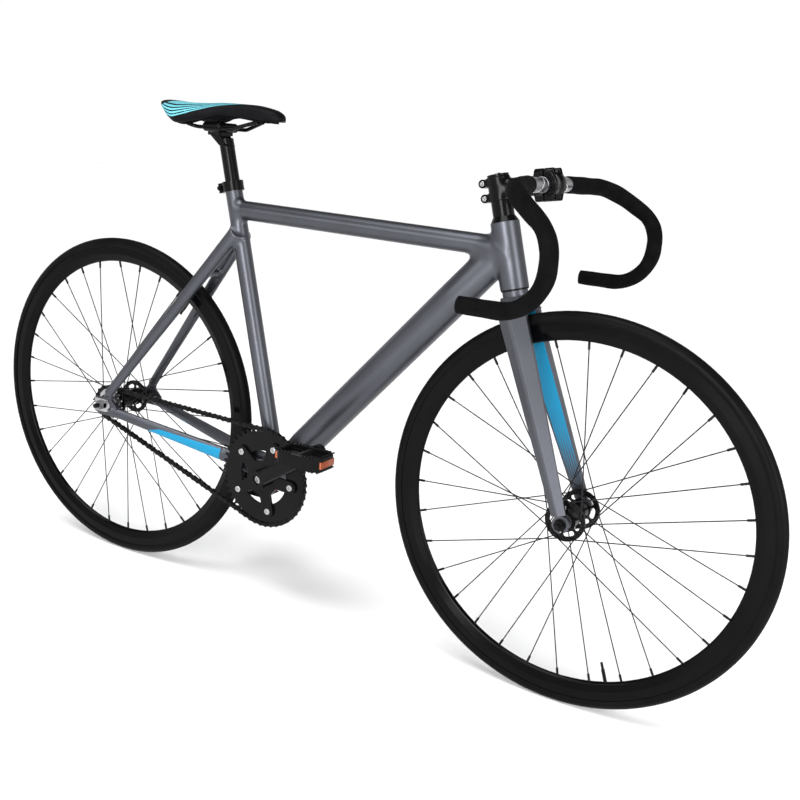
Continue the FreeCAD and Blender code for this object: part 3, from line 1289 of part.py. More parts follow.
def axle(diameter, hub_end, spacing, outer):
    """Axle with a collar each side between the hub's bearings and the dropouts, and turned-down ends."""
    origin = vec(0, 0, 0)
    low = hub_end + SIDE_GAP
    collar = side_rod(AXLE_COLLAR_DIAMETER, origin, -spacing / 2, -low)
    shaft = side_rod(diameter, origin, AXLE_END - outer, outer - AXLE_END)
    ends = side_rod(diameter - 2 * AXLE_END_STEP, origin, -outer, outer)
    return fused(shaft, ends, collar, mirrored(collar))


def axle_nuts(diameter, face):
    """Flanged hexagon nuts bearing on the outer faces of the dropouts."""
    origin = vec(0, 0, 0)
    hole = side_rod(diameter + 2 * SEAT_FIT, origin, -face - NUT_HEIGHT - CUT, CUT - face)
    nut = fused(side_rod(NUT_FLANGE_DIAMETER, origin, -face - NUT_FLANGE_HEIGHT, -face),
                hexagon(NUT_FLATS, origin, -face - NUT_HEIGHT, -face - NUT_FLANGE_HEIGHT)).cut(hole)
    return [nut, mirrored(nut)]


def moved(shapes, place, turn=0):
    """Shapes built about the origin, turned about Y and moved to their place."""
    solids = shapes if isinstance(shapes, list) else [shapes]
    return [solid.rotated(vec(0, 0, 0), ALONG_Y, -turn).translated(place) for solid in solids]


def wheel(name, flange_offset, place, turn):
    """Tyre, rim, spokes, nipples and valve of one wheel."""
    return {
        name + "_tyre": moved(tyre(), place, turn),
        name + "_rim": moved(rim(flange_offset), place, turn),
        name + "_spokes": moved(spokes(flange_offset), place, turn),
        name + "_nipples": moved(nipples(flange_offset), place, turn),
        name + "_valve": moved(valve(), place, turn),
    }


def front_wheel():
    place = FRONT_AXLE
    turn = FRONT_VALVE_ANGLE
    nodes = wheel("front", FRONT_FLANGE_OFFSET, place, turn)
    hub = hub_shell(FRONT_FLANGE_OFFSET, FRONT_HUB_END, FRONT_AXLE_DIAMETER)
    nodes["front_hub"] = moved(hub, place, turn)
    nodes["front_hub_bearings"] = moved(hub_bearings(FRONT_HUB_END, FRONT_AXLE_DIAMETER), place)
    face = FRONT_DROPOUT_SPACING / 2 + FORK_TIP_THICKNESS
    outer = face + NUT_HEIGHT + AXLE_END
    nodes["front_axle"] = moved(axle(FRONT_AXLE_DIAMETER, FRONT_HUB_END, FRONT_DROPOUT_SPACING, outer), place)
    nodes["front_axle_nuts"] = moved(axle_nuts(FRONT_AXLE_DIAMETER, face), place)
    return nodes


def rear_wheel():
    place = REAR_AXLE
    turn = REAR_VALVE_ANGLE
    nodes = wheel("rear", REAR_FLANGE_OFFSET, place, turn)
    hub = rear_hub(REAR_FLANGE_OFFSET, REAR_HUB_END, REAR_AXLE_DIAMETER)
    nodes["rear_hub"] = moved(hub, place, turn)
    nodes["rear_hub_bearings"] = moved(hub_bearings(REAR_HUB_END, REAR_AXLE_DIAMETER), place)
    face = REAR_DROPOUT_SPACING / 2 + DROPOUT_THICKNESS + LINER_THICKNESS
    outer = face + NUT_HEIGHT + AXLE_END
    nodes["rear_axle"] = moved(axle(REAR_AXLE_DIAMETER, REAR_HUB_END, REAR_DROPOUT_SPACING, outer), place)
    nodes["rear_axle_nuts"] = moved(axle_nuts(REAR_AXLE_DIAMETER, face), place)
    return nodes


# Chain drive

def chain_place(links):
    """Centre of a roller, a number of links along the chain from the top of the chainring backward."""
    lean, run, ring_links, cog_links = chain_span(CHAIN_CENTRES)
    towards = (REAR_AXLE - BB).normalize()
    upward = vec(towards.z, 0, -towards.x)
    normal = upward * math.cos(lean) + towards * math.sin(lean)
    lower = upward * -math.cos(lean) + towards * math.sin(lean)
    run_links = run / CHAIN_PITCH
    if links < run_links:
        start = BB + normal * RING_RADIUS
        end = REAR_AXLE + normal * COG_RADIUS
        return start + (end - start) * (links / run_links)
    links -= run_links
    if links < cog_links:
        return REAR_AXLE + turned(normal, links * 360 / COG_TEETH) * COG_RADIUS
    links -= cog_links
    if links < run_links:
        start = REAR_AXLE + lower * COG_RADIUS
        end = BB + lower * RING_RADIUS
        return start + (end - start) * (links / run_links)
    links -= run_links
    return BB + turned(lower, links * 360 / RING_TEETH) * RING_RADIUS


def turned(direction, degrees):
    """A direction in the wheel plane, turned the way the chain runs from the ring's top to the cog."""
    turn = math.radians(degrees)
    return vec(direction.x * math.cos(turn) - direction.z * math.sin(turn), 0,
               direction.x * math.sin(turn) + direction.z * math.cos(turn))


def roller_angle(centre, radius):
    """Angle of a roller that lies in the middle of a sprocket's wrap."""
    spots = [chain_place(index) - centre for index in range(CHAIN_LINKS)]
    seated = [spot for spot in spots if abs(spot.Length - radius) < TINY]
    spot = seated[len(seated) // 2]
    return math.degrees(math.atan2(spot.z, spot.x))


def sprocket(teeth, radius, phase):
    """Toothed plate in the chain line, with a round seat for each roller."""
    seat_radius = ROLLER_DIAMETER / 2 + ROLLER_GAP
    low = -CHAIN_LINE - SPROCKET_THICKNESS / 2
    step = 360 / teeth
    tip_turn = step * TOOTH_TIP_SHARE
    steps = []
    for index in range(teeth):
        angle = phase + step * index
        centre = at_angle(radius, low, angle)
        outward = at_angle(1, 0, angle)
        across = at_angle(1, 0, angle + 90)
        steps.append(centre - across * seat_radius)
        steps.append((centre - outward * seat_radius, centre + across * seat_radius))
        steps.append(at_angle(radius + TOOTH_HEIGHT, low, angle + step / 2 - tip_turn))
        steps.append(at_angle(radius + TOOTH_HEIGHT, low, angle + step / 2 + tip_turn))
    return slab(outline(steps[0], *steps[1:]), ALONG_Y * SPROCKET_THICKNESS)


def rear_cog():
    """Fixed cog with its boss, and the lockring outside it."""
    origin = vec(0, 0, 0)
    inner = CHAIN_LINE - SPROCKET_THICKNESS / 2
    outer = CHAIN_LINE + SPROCKET_THICKNESS / 2
    bore = side_rod(COG_THREAD_DIAMETER + 2 * SEAT_FIT, origin, -outer - CUT, 0)
    plate = sprocket(COG_TEETH, COG_RADIUS, roller_angle(REAR_AXLE, COG_RADIUS))
    boss = side_rod(COG_BOSS_DIAMETER, origin, -CHAIN_LINE, COG_BOSS_HEIGHT - inner)
    cog = fused(plate, boss)
    lockring = side_ring(LOCKRING_DIAMETER, COG_THREAD_DIAMETER + 2 * SEAT_FIT, origin,
                         -outer - LOCKRING_HEIGHT, -outer)
    notches = []
    for index in range(LOCKRING_NOTCHES):
        spot = at_angle(LOCKRING_DIAMETER / 2, 0, 360 / LOCKRING_NOTCHES * index)
        notches.append(side_rod(LOCKRING_NOTCH, spot, -outer - LOCKRING_HEIGHT - CUT, CUT - outer))
    return moved([cog.cut(bore), lockring.cut(notches)], REAR_AXLE)


def link_plate(width_from, width_to):
    """Waisted chain plate, pitch along X, between two distances from the chain's middle plane."""
    half = CHAIN_PITCH / 2
    end = CHAIN_PLATE_HEIGHT / 2
    waist = CHAIN_PLATE_HEIGHT * CHAIN_WAIST_SHARE
    lean = end / math.sqrt(2)

    def spot(x, z):
        return vec(x, width_from, z)
    wire = outline(spot(half - lean, lean), (spot(0, waist), spot(lean - half, lean)),
                   (spot(-half - end, 0), spot(lean - half, -lean)),
                   (spot(0, -waist), spot(half - lean, -lean)),
                   (spot(half + end, 0), spot(half - lean, lean)))
    return slab(wire, ALONG_Y * (width_to - width_from))


def inner_link():
    """Two inner plates on a pair of rollers, bored for the pins."""
    inner = CHAIN_INNER_WIDTH / 2
    outer = inner + CHAIN_PLATE_THICKNESS
    solid = fused(link_plate(inner, outer), link_plate(-outer, -inner))
    for x in (-CHAIN_PITCH / 2, CHAIN_PITCH / 2):
        solid = fused(solid, side_rod(ROLLER_DIAMETER, vec(x, 0, 0), -inner, inner))
    holes = [side_rod(PIN_DIAMETER + 2 * PIN_GAP, vec(x, 0, 0), -outer - CUT, outer + CUT)
             for x in (-CHAIN_PITCH / 2, CHAIN_PITCH / 2)]
    return solid.cut(holes)


def outer_link():
    """Two outer plates joined by a pair of pins."""
    inner = CHAIN_INNER_WIDTH / 2 + CHAIN_PLATE_THICKNESS + CHAIN_PLATE_GAP
    outer = inner + CHAIN_PLATE_THICKNESS
    solid = fused(link_plate(inner, outer), link_plate(-outer, -inner))
    for x in (-CHAIN_PITCH / 2, CHAIN_PITCH / 2):
        solid = fused(solid, side_rod(PIN_DIAMETER, vec(x, 0, 0), -outer - PIN_PROUD, outer + PIN_PROUD))
    return solid


def chain():
    """Every link of the chain in its place round both sprockets."""
    patterns = (inner_link(), outer_link())
    links = []
    for index in range(CHAIN_LINKS):
        start = chain_place(index)
        end = chain_place((index + 1) % CHAIN_LINKS)
        turn = math.degrees(math.atan2(start.z - end.z, end.x - start.x))
        link = patterns[index % 2].copy()
        link.rotate(vec(0, 0, 0), ALONG_Y, turn)
        link.translate((start + end) * 0.5 - ALONG_Y * CHAIN_LINE)
        links.append(link)
    return links


# Crank set and pedals, built about the bottom bracket and then moved to it

def ring_bolt_spots():
    step = 360 / RING_BOLTS
    first = CRANK_ANGLE + step / 2
    return [at_angle(RING_BOLT_CIRCLE / 2, 0, first + step * index) for index in range(RING_BOLTS)]


def chainring():
    """Toothed ring with five bolt tabs."""
    origin = vec(0, 0, 0)
    low = -CHAIN_LINE - SPROCKET_THICKNESS / 2
    high = -CHAIN_LINE + SPROCKET_THICKNESS / 2
    plate = sprocket(RING_TEETH, RING_RADIUS, roller_angle(BB, RING_RADIUS))
    plate = plate.cut(side_rod(RING_INNER_DIAMETER, origin, low - CUT, high + CUT))
    cutters = []
    for spot in ring_bolt_spots():
        plate = fused(plate, side_rod(RING_TAB_DIAMETER, spot, low, high))
        cutters.append(side_rod(RING_BOLT_DIAMETER + 2 * SEAT_FIT, spot, low - CUT, high + CUT))
    return moved(plate.cut(cutters), BB)


def crank_arm(side, angle):
    """Arm from its boss on the spindle to the eye that holds the pedal spindle."""
    origin = vec(0, 0, 0)
    tip = at_angle(CRANK_LENGTH, 0, angle)
    across = at_angle(1, 0, angle + 90)
    eye_outer = CRANK_EYE_INNER + CRANK_ARM_THICKNESS
    boss = side_rod(CRANK_BOSS_DIAMETER, origin, side * CRANK_BOSS_INNER, side * CRANK_BOSS_OUTER)
    eye = side_rod(CRANK_EYE_DIAMETER, tip, side * CRANK_EYE_INNER, side * eye_outer)
    corner = CRANK_ARM_THICKNESS / 4
    root_middle = side * (CRANK_BOSS_OUTER - CRANK_ARM_THICKNESS / 2)
    tip_middle = side * (CRANK_EYE_INNER + CRANK_ARM_THICKNESS / 2)
    root_wire = outline(*box_points(vec(0, root_middle, 0), across, ALONG_Y,
                                    (CRANK_ARM_ROOT_WIDTH, CRANK_ARM_THICKNESS), corner))
    tip_wire = outline(*box_points(tip + ALONG_Y * tip_middle, across, ALONG_Y,
                                   (CRANK_ARM_TIP_WIDTH, CRANK_ARM_THICKNESS), corner))
    arm = Part.makeLoft([root_wire, tip_wire], True, True)
    depth = CRANK_BOSS_OUTER - CRANK_SOCKET
    spindle_hole = side_rod(SPINDLE_DIAMETER + 2 * SEAT_FIT, origin, 0, side * depth)
    socket = side_rod(CRANK_BOLT_DIAMETER + 2 * SOFT_GAP, origin, side * depth,
                      side * (CRANK_BOSS_OUTER + CUT))
    pedal_hole = side_rod(PEDAL_SPINDLE_DIAMETER + 2 * SEAT_FIT, tip, 0, side * (eye_outer + CUT))
    return fused(boss, eye, arm), [spindle_hole, socket, pedal_hole]


def crank_right():
    """Drive-side crank with its five-armed spider."""
    solid, cutters = crank_arm(-1, CRANK_ANGLE)
    high = -CHAIN_LINE - SPROCKET_THICKNESS / 2
    low = high - SPIDER_THICKNESS
    half = SPIDER_ARM_WIDTH / 2
    for spot in ring_bolt_spots():
        across = vec(spot.z, 0, -spot.x).normalize() * half
        foot = vec(0, low, 0)
        end = spot + vec(0, low, 0)
        wire = outline(foot - across, end - across, end + across, foot + across)
        arm = slab(wire, ALONG_Y * SPIDER_THICKNESS)
        solid = fused(solid, arm, side_rod(SPIDER_ARM_WIDTH, spot, low, high))
        cutters.append(side_rod(RING_BOLT_DIAMETER + 2 * SEAT_FIT, spot, low - CUT, high + CUT))
    web = side_rod(SPIDER_WEB_DIAMETER, vec(0, 0, 0), low, high)
    return moved(fused(solid, web).cut(cutters), BB)


def crank_left():
    solid, cutters = crank_arm(1, CRANK_ANGLE + 180)
    return moved(solid.cut(cutters), BB)


def crank_bolts():
    """Five chainring bolts and the two bolts that hold the cranks on the spindle."""
    bolts = []
    inner = -CHAIN_LINE + SPROCKET_THICKNESS / 2
    outer = -CHAIN_LINE - SPROCKET_THICKNESS / 2 - SPIDER_THICKNESS
    for spot in ring_bolt_spots():
        bolts.append(fused(side_rod(RING_BOLT_DIAMETER, spot, outer, inner),
                           side_rod(RING_BOLT_HEAD_DIAMETER, spot, outer - RING_BOLT_HEAD_HEIGHT, outer),
                           side_rod(RING_BOLT_HEAD_DIAMETER, spot, inner, inner + RING_BOLT_HEAD_HEIGHT)))
    seat = -SPINDLE_LENGTH / 2
    bolt = side_rod(CRANK_BOLT_DIAMETER, vec(0, 0, 0), seat - CRANK_BOLT_HEIGHT, seat)
    return moved(bolts + [bolt, mirrored(bolt)], BB)


def bottom_bracket_spindle():
    half = SPINDLE_LENGTH / 2
    return moved(side_rod(SPINDLE_DIAMETER, vec(0, 0, 0), -half, half), BB)


def pedal_inner():
    """Distance of a pedal body's inner face from the middle plane."""
    return CRANK_EYE_INNER + CRANK_ARM_THICKNESS + PEDAL_GAP


def pedal_spindles():
    solids = []
    outer = pedal_inner() + PEDAL_WIDTH - PEDAL_CAP
    for side, angle in ((-1, CRANK_ANGLE), (1, CRANK_ANGLE + 180)):
        tip = at_angle(CRANK_LENGTH, 0, angle)
        face = CRANK_EYE_INNER + CRANK_ARM_THICKNESS
        collar_end = side * (pedal_inner() - SIDE_GAP)
        shaft = side_rod(PEDAL_SPINDLE_DIAMETER, tip, side * CRANK_EYE_INNER, side * (outer - SIDE_GAP))
        solids.append(fused(shaft, side_rod(PEDAL_COLLAR_DIAMETER, tip, side * face, collar_end)))
    return moved(solids, BB)


def pedal_body(side):
    """Open platform: an outer frame, a middle barrel on the spindle and a cross bar each way."""
    inner = pedal_inner()
    low = side * inner
    width = side * PEDAL_WIDTH

    def plan(length, start, end, corner):
        across = vec(1, 0, 0)
        middle = vec(0, (start + end) / 2, -PEDAL_HEIGHT / 2)
        return slab(outline(*box_points(middle, across, ALONG_Y, (length, abs(end - start)), corner)),
                    vec(0, 0, PEDAL_HEIGHT))
    frame = plan(PEDAL_LENGTH, low, low + width, PEDAL_CORNER)
    rail = side * PEDAL_RAIL
    window = plan(PEDAL_LENGTH - 2 * PEDAL_RAIL, low + rail, low + width - rail, PEDAL_RAIL / 2)
    barrel = side_rod(PEDAL_BARREL_DIAMETER, vec(0, 0, 0), low, low + width)
    half_bar = PEDAL_RAIL / 2
    middle = low + width / 2
    bar = Part.makeBox(PEDAL_LENGTH - PEDAL_RAIL, PEDAL_RAIL, PEDAL_HEIGHT / 2,
                       vec((PEDAL_RAIL - PEDAL_LENGTH) / 2, middle - half_bar, -PEDAL_HEIGHT / 4))
    bore = side_rod(PEDAL_SPINDLE_DIAMETER + 2 * RUN_FIT, vec(0, 0, 0), low - side * CUT,
                    low + width - side * PEDAL_CAP)
    pockets = [reflector(side, end, SEAT_FIT) for end in (-1, 1)]
    return fused(frame.cut(window), barrel, bar).cut([bore] + pockets)


def reflector(side, end, fit):
    """Reflector block let into the front or back face of a pedal, grown all round by a fit."""
    middle = side * (pedal_inner() + PEDAL_WIDTH / 2)
    length = REFLECTOR_LENGTH + 2 * fit
    height = REFLECTOR_HEIGHT + 2 * fit
    start = PEDAL_LENGTH / 2 - REFLECTOR_DEPTH - fit
    thickness = REFLECTOR_THICKNESS + fit
    low = start if end > 0 else -start - thickness
    return Part.makeBox(thickness, length, height, vec(low, middle - length / 2, -height / 2))


def pedals():
    nodes = {}
    for name, side, angle in (("right", -1, CRANK_ANGLE), ("left", 1, CRANK_ANGLE + 180)):
        tip = BB + at_angle(CRANK_LENGTH, 0, angle)
        nodes["pedal_" + name] = moved(pedal_body(side), tip)
        nodes["pedal_reflectors_" + name] = moved([reflector(side, end, 0) for end in (-1, 1)], tip)
    return nodes


# The whole bicycle

def frame_nodes():
    outers = frame_outers()
    plates = dropouts()
    return {
        "head_tube": head_tube(outers),
        "top_tube": top_tube(outers),
        "down_tube": down_tube(outers),
        "seat_tube": seat_tube(outers),
        "bottom_bracket_shell": bottom_bracket_shell(outers),
        "chainstays": chainstays(outers, plates),
        "seatstays": seatstays(outers, plates),
        "stay_bridges": stay_bridges(),
        "dropouts": plates,
        "dropout_liners": dropout_liners(),
        "seat_collar": seat_collar(),
        "bottom_bracket_cups": bottom_bracket_cups(),
        "headset_bearings": headset_bearings(),
        "chain": chain(),
    }


def seat_nodes():
    return {
        "seatpost": seatpost(),
        "saddle_clamp": saddle_clamp(),
        "saddle_rails": saddle_rails(),
        "saddle_shell": saddle_shell(),
        "saddle_cover": saddle_cover(),
    }


def steering_nodes():
    return {
        "fork_crown": fork_crown(),
        "fork_steerer": fork_steerer(),
        "fork_blades": fork_blades(),
        "headset_covers": headset_covers(),
        "headset_spacers": headset_spacers(),
        "stem_body": stem_body(),
        "stem_faceplate": stem_faceplate(),
        "stem_bolts": stem_bolts(),
        "top_cap": top_cap(),
        "handlebar": handlebar(),
        "grips": grips(),
        "bar_end_plugs": bar_end_plugs(),
    }


def crank_nodes():
    return {
        "crank_right": crank_right(),
        "crank_left": crank_left(),
        "chainring": chainring(),
        "crank_bolts": crank_bolts(),
        "bottom_bracket_spindle": bottom_bracket_spindle(),
        "pedal_spindles": pedal_spindles(),
    }


def main():
    os.makedirs("parts", exist_ok=True)
    nodes = {}
    nodes.update(frame_nodes())
    nodes.update(seat_nodes())
    nodes.update(steering_nodes())
    nodes.update(front_wheel())
    nodes.update(rear_wheel())
    nodes["rear_cog"] = rear_cog()
    nodes.update(crank_nodes())
    nodes.update(pedals())
    for name, shapes in nodes.items():
        solids = shapes if isinstance(shapes, list) else [shapes]
        solids = [solid for shape in solids for solid in shape.Solids]
        shape = solids[0] if len(solids) == 1 else Part.makeCompound(solids)
        shape.exportStep("parts/" + name + ".step")
        print(name, len(solids), "valid" if all(solid.isValid() for solid in solids) else "NOT VALID",
              round(sum(solid.Volume for solid in solids)))


main()
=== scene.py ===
import json
import math

import bmesh
import bpy
import numpy as np
from mathutils import Matrix, Vector


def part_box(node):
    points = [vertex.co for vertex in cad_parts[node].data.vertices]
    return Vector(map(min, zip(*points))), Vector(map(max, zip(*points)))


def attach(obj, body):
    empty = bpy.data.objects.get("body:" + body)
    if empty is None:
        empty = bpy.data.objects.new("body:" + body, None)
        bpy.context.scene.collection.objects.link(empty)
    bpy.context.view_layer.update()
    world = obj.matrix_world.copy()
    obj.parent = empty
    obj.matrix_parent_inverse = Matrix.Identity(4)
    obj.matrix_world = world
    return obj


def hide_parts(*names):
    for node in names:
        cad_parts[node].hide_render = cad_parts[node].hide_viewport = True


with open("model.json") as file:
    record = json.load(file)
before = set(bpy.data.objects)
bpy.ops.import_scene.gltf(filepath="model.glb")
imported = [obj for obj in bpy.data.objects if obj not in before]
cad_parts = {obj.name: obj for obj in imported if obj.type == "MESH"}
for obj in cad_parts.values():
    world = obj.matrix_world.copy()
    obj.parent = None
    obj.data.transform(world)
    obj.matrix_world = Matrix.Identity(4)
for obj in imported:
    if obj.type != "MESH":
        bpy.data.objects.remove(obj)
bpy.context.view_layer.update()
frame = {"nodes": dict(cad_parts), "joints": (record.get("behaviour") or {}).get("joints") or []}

nodes = frame["nodes"]
joints = {joint["name"]: joint for joint in frame["joints"]}

# Sizes that the looks share with the solids, in millimetres
MM = 0.001
REAR_AXLE = np.array((-499.0, 0.0, 334.0))
FRONT_AXLE = np.array((499.0, 0.0, 334.0))
BB = np.array(joints["crank_spin"]["pos_m"]) / MM
HEAD_FOOT = np.array(joints["steering"]["pos_m"]) / MM
HEAD_UP = np.array(joints["steering"]["axis"])
HEAD_FORWARD = np.array((HEAD_UP[2], 0.0, -HEAD_UP[0]))
SEAT_UP = np.array(joints["seat_height"]["axis"])
POST_TOP = np.array(joints["seat_height"]["pos_m"]) / MM
PEDAL_RIGHT = np.array(joints["pedal_right_spin"]["pos_m"]) / MM
PEDAL_LEFT = np.array(joints["pedal_left_spin"]["pos_m"]) / MM
AHEAD, SIDE, UP = np.eye(3)
MIRROR = np.array((1, -1, 1))
HEAD_TUBE_LENGTH = 107.0
SEAT_TUBE_LENGTH = 551.0
SHELL_HALF = 34.0
STEM_HEIGHT, STEM_LENGTH, STEM_DROP = 160.0, 82.5, math.radians(6.6)
CLAMP_SETBACK, CLAMP_DROP = 14.0, 10.0


def unit(vector):
    return vector / np.linalg.norm(vector)


def steer(forward, side, up):
    """A place measured from the foot of the head tube, along the steering axis."""
    return HEAD_FOOT + HEAD_FORWARD * forward + SIDE * side + HEAD_UP * up


def seat_point(station):
    """A place on the seat tube's axis, measured from the bottom bracket."""
    return BB + SEAT_UP * station


STEM_ALONG = HEAD_FORWARD * math.cos(STEM_DROP) - HEAD_UP * math.sin(STEM_DROP)
STEM_UP = HEAD_UP * math.cos(STEM_DROP) + HEAD_FORWARD * math.sin(STEM_DROP)
STEM_ROOT = steer(0, 0, STEM_HEIGHT)
BAR_CENTRE = STEM_ROOT + STEM_ALONG * STEM_LENGTH
CLAMP_CENTRE = np.array((POST_TOP[0] - CLAMP_SETBACK, 0.0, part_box("saddle_clamp")[1].z / MM - CLAMP_DROP))


# Materials

def new_material(name):
    made = bpy.data.materials.new(name)
    made.use_nodes = True
    tree = made.node_tree
    return made, tree, tree.nodes["Principled BSDF"]


def add(tree, kind, values=None, **settings):
    node = tree.nodes.new(kind)
    for key, value in settings.items():
        setattr(node, key, value)
    for key, value in (values or {}).items():
        node.inputs[key].default_value = value
    return node


def dress(tree, node, sockets):
    """Sets each socket of a node to a number or a colour, or joins it to an output."""
    for name, value in sockets.items():
        if isinstance(value, tuple):
            value = (*value, 1.0)
        if isinstance(value, (int, float, tuple)):
            node.inputs[name].default_value = value
        else:
            tree.links.new(value, node.inputs[name])


def math_node(tree, operation, *values):
    node = add(tree, "ShaderNodeMath", operation=operation)
    dress(tree, node, dict(enumerate(values)))
    return node.outputs[0]


def times(tree, first, *others):
    for other in others:
        first = math_node(tree, "MULTIPLY", first, other)
    return first


def plus(tree, first, second):
    return math_node(tree, "ADD", first, second)


def minus(tree, first, second):
    return math_node(tree, "SUBTRACT", first, second)


def object_place(tree):
    return add(tree, "ShaderNodeTexCoord").outputs["Object"]


def noise(tree, scale, detail=3.0, place=None):
    node = add(tree, "ShaderNodeTexNoise", {"Scale": scale, "Detail": detail})
    tree.links.new(place or object_place(tree), node.inputs["Vector"])
    return node.outputs["Fac"]


def spread(tree, factor, low=0.0, high=1.0, start=0.3, end=0.7):
    """A value between low and high where the factor goes from start to end."""
    node = add(tree, "ShaderNodeMapRange",
               {"From Min": start, "From Max": end, "To Min": low, "To Max": high})
    tree.links.new(factor, node.inputs["Value"])
    return node.outputs["Result"]


def mixed(tree, factor, first, second):
    """Colour mix; each colour is a tuple or a socket."""
    node = add(tree, "ShaderNodeMix", data_type="RGBA")
    dress(tree, node, {0: factor, 6: first, 7: second})
    return node.outputs[2]


def bumped(tree, shader, height, strength, distance, edge=0.0):
    node = add(tree, "ShaderNodeBump", {"Strength": strength, "Distance": distance})
    tree.links.new(height, node.inputs["Height"])
    if edge:
        rounded = add(tree, "ShaderNodeBevel", {"Radius": edge}, samples=6)
        tree.links.new(rounded.outputs[0], node.inputs["Normal"])
    tree.links.new(node.outputs[0], shader.inputs["Normal"])


GRAIN_SCALE, WEAR_SCALE = 400.0, 10.0


def plain(name, low, high, metallic, rough, bump=0.1, grain=0.00005, edge=0.0004, shine=0.5):
    """A worked surface: two close colours and a grain at one scale, with wear at a larger one."""
    made, tree, shader = new_material(name)
    fine = noise(tree, GRAIN_SCALE, 4.0)
    broad = noise(tree, WEAR_SCALE)
    both = plus(tree, times(tree, fine, 0.5), times(tree, broad, 0.5))
    dress(tree, shader, {
        "Base Color": mixed(tree, spread(tree, broad), low, high),
        "Roughness": spread(tree, both, rough * 0.8, rough * 1.25),
        "Metallic": metallic, "Specular IOR Level": shine})
    bumped(tree, shader, fine, bump, grain, edge)
    return made


def axis_parts(tree, place):
    node = add(tree, "ShaderNodeSeparateXYZ")
    tree.links.new(place, node.inputs[0])
    return node.outputs


def along_of(tree, place, origin, direction):
    """Distance of a place along a direction from an origin, in metres."""
    shift = add(tree, "ShaderNodeVectorMath", operation="SUBTRACT")
    tree.links.new(place, shift.inputs[0])
    shift.inputs[1].default_value = tuple(origin)
    dot = add(tree, "ShaderNodeVectorMath", operation="DOT_PRODUCT")
    tree.links.new(shift.outputs[0], dot.inputs[0])
    dot.inputs[1].default_value = tuple(direction)
    return dot.outputs["Value"]


def between(tree, value, low, high, soft):
    """One inside a range, nought outside it, with soft ends."""
    rise = add(tree, "ShaderNodeMapRange", {"From Min": low - soft, "From Max": low + soft})
    fall = add(tree, "ShaderNodeMapRange", {"From Min": high - soft, "From Max": high + soft,
                                            "To Min": 1.0, "To Max": 0.0})
    for node in (rise, fall):
        tree.links.new(value, node.inputs["Value"])
    return times(tree, rise.outputs[0], fall.outputs[0])


FAR = 1.0
PAINT_LOW, PAINT_HIGH = (0.060, 0.062, 0.072), (0.080, 0.083, 0.096)
BLUE_LOW, BLUE_HIGH = (0.002, 0.17, 0.32), (0.003, 0.21, 0.37)
PAINT_METAL, PANEL_DULLING = 0.92, 0.82
# Chainstay panel, in metres along the stay, up from it and out from the middle, with its slopes
PANEL_START, PANEL_END, PANEL_LEAN = 0.112, 0.262, 2.4
PANEL_FOOT, PANEL_TOP, PANEL_RISE = -0.05, -0.0025, 0.05
PANEL_INNER, PANEL_OUTER, PANEL_TOE = 0.0535, 0.2, -0.105
# Fork panel, in metres down from the crown; the lines are counted in radians for each metre across
FORK_PANEL_TOP, FORK_FADE_START, FORK_FADE_END = 0.04, 0.17, 0.36
FORK_LINES, FORK_LINE_WEIGHT, INNER_FACING = 1500.0, 0.55, 0.93


def paint_colours(tree):
    """Satin metallic paint: fine flakes over a broad drift of tone."""
    flakes = noise(tree, 2600.0, 2.0)
    drift = noise(tree, 9.0, 2.0)
    tone = plus(tree, times(tree, flakes, 0.55), times(tree, drift, 0.45))
    return mixed(tree, spread(tree, tone, 0.0, 1.0, 0.35, 0.65), PAINT_LOW, PAINT_HIGH), flakes


def paint_finish(tree, shader, colour, flakes, panel):
    """Satin finish, in plain blue where the panel's mask is one."""
    blue = mixed(tree, noise(tree, 30.0), BLUE_LOW, BLUE_HIGH)
    dress(tree, shader, {
        "Base Color": mixed(tree, panel, colour, blue),
        "Metallic": minus(tree, PAINT_METAL, times(tree, panel, PANEL_DULLING)),
        "Roughness": spread(tree, flakes, 0.33, 0.43), "Specular IOR Level": 0.25,
        "Coat Weight": 0.03, "Coat Roughness": 0.28})
    bumped(tree, shader, flakes, 0.06, 0.00004, 0.0006)


def frame_paint():
    """Frame paint with a plain blue panel along the lower outer side of each chainstay."""
    made, tree, shader = new_material("frame_paint")
    colour, flakes = paint_colours(tree)
    place = object_place(tree)
    along = along_of(tree, place, STAY_END * MM, STAY_ALONG)
    height = along_of(tree, place, STAY_END * MM, STAY_UP)
    lean = minus(tree, along, times(tree, height, PANEL_LEAN))
    length = times(tree, between(tree, lean, PANEL_START, FAR, 0.0006),
                   between(tree, along, -FAR, PANEL_END, 0.0006))
    edge = minus(tree, height, times(tree, along, PANEL_RISE))
    under = between(tree, edge, PANEL_FOOT, PANEL_TOP, 0.0004)
    width = math_node(tree, "ABSOLUTE", axis_parts(tree, place)[1])
    out = minus(tree, width, times(tree, along, PANEL_TOE))
    outer = between(tree, out, PANEL_INNER, PANEL_OUTER, 0.0004)
    paint_finish(tree, shader, colour, flakes, times(tree, length, under, outer))
    return made


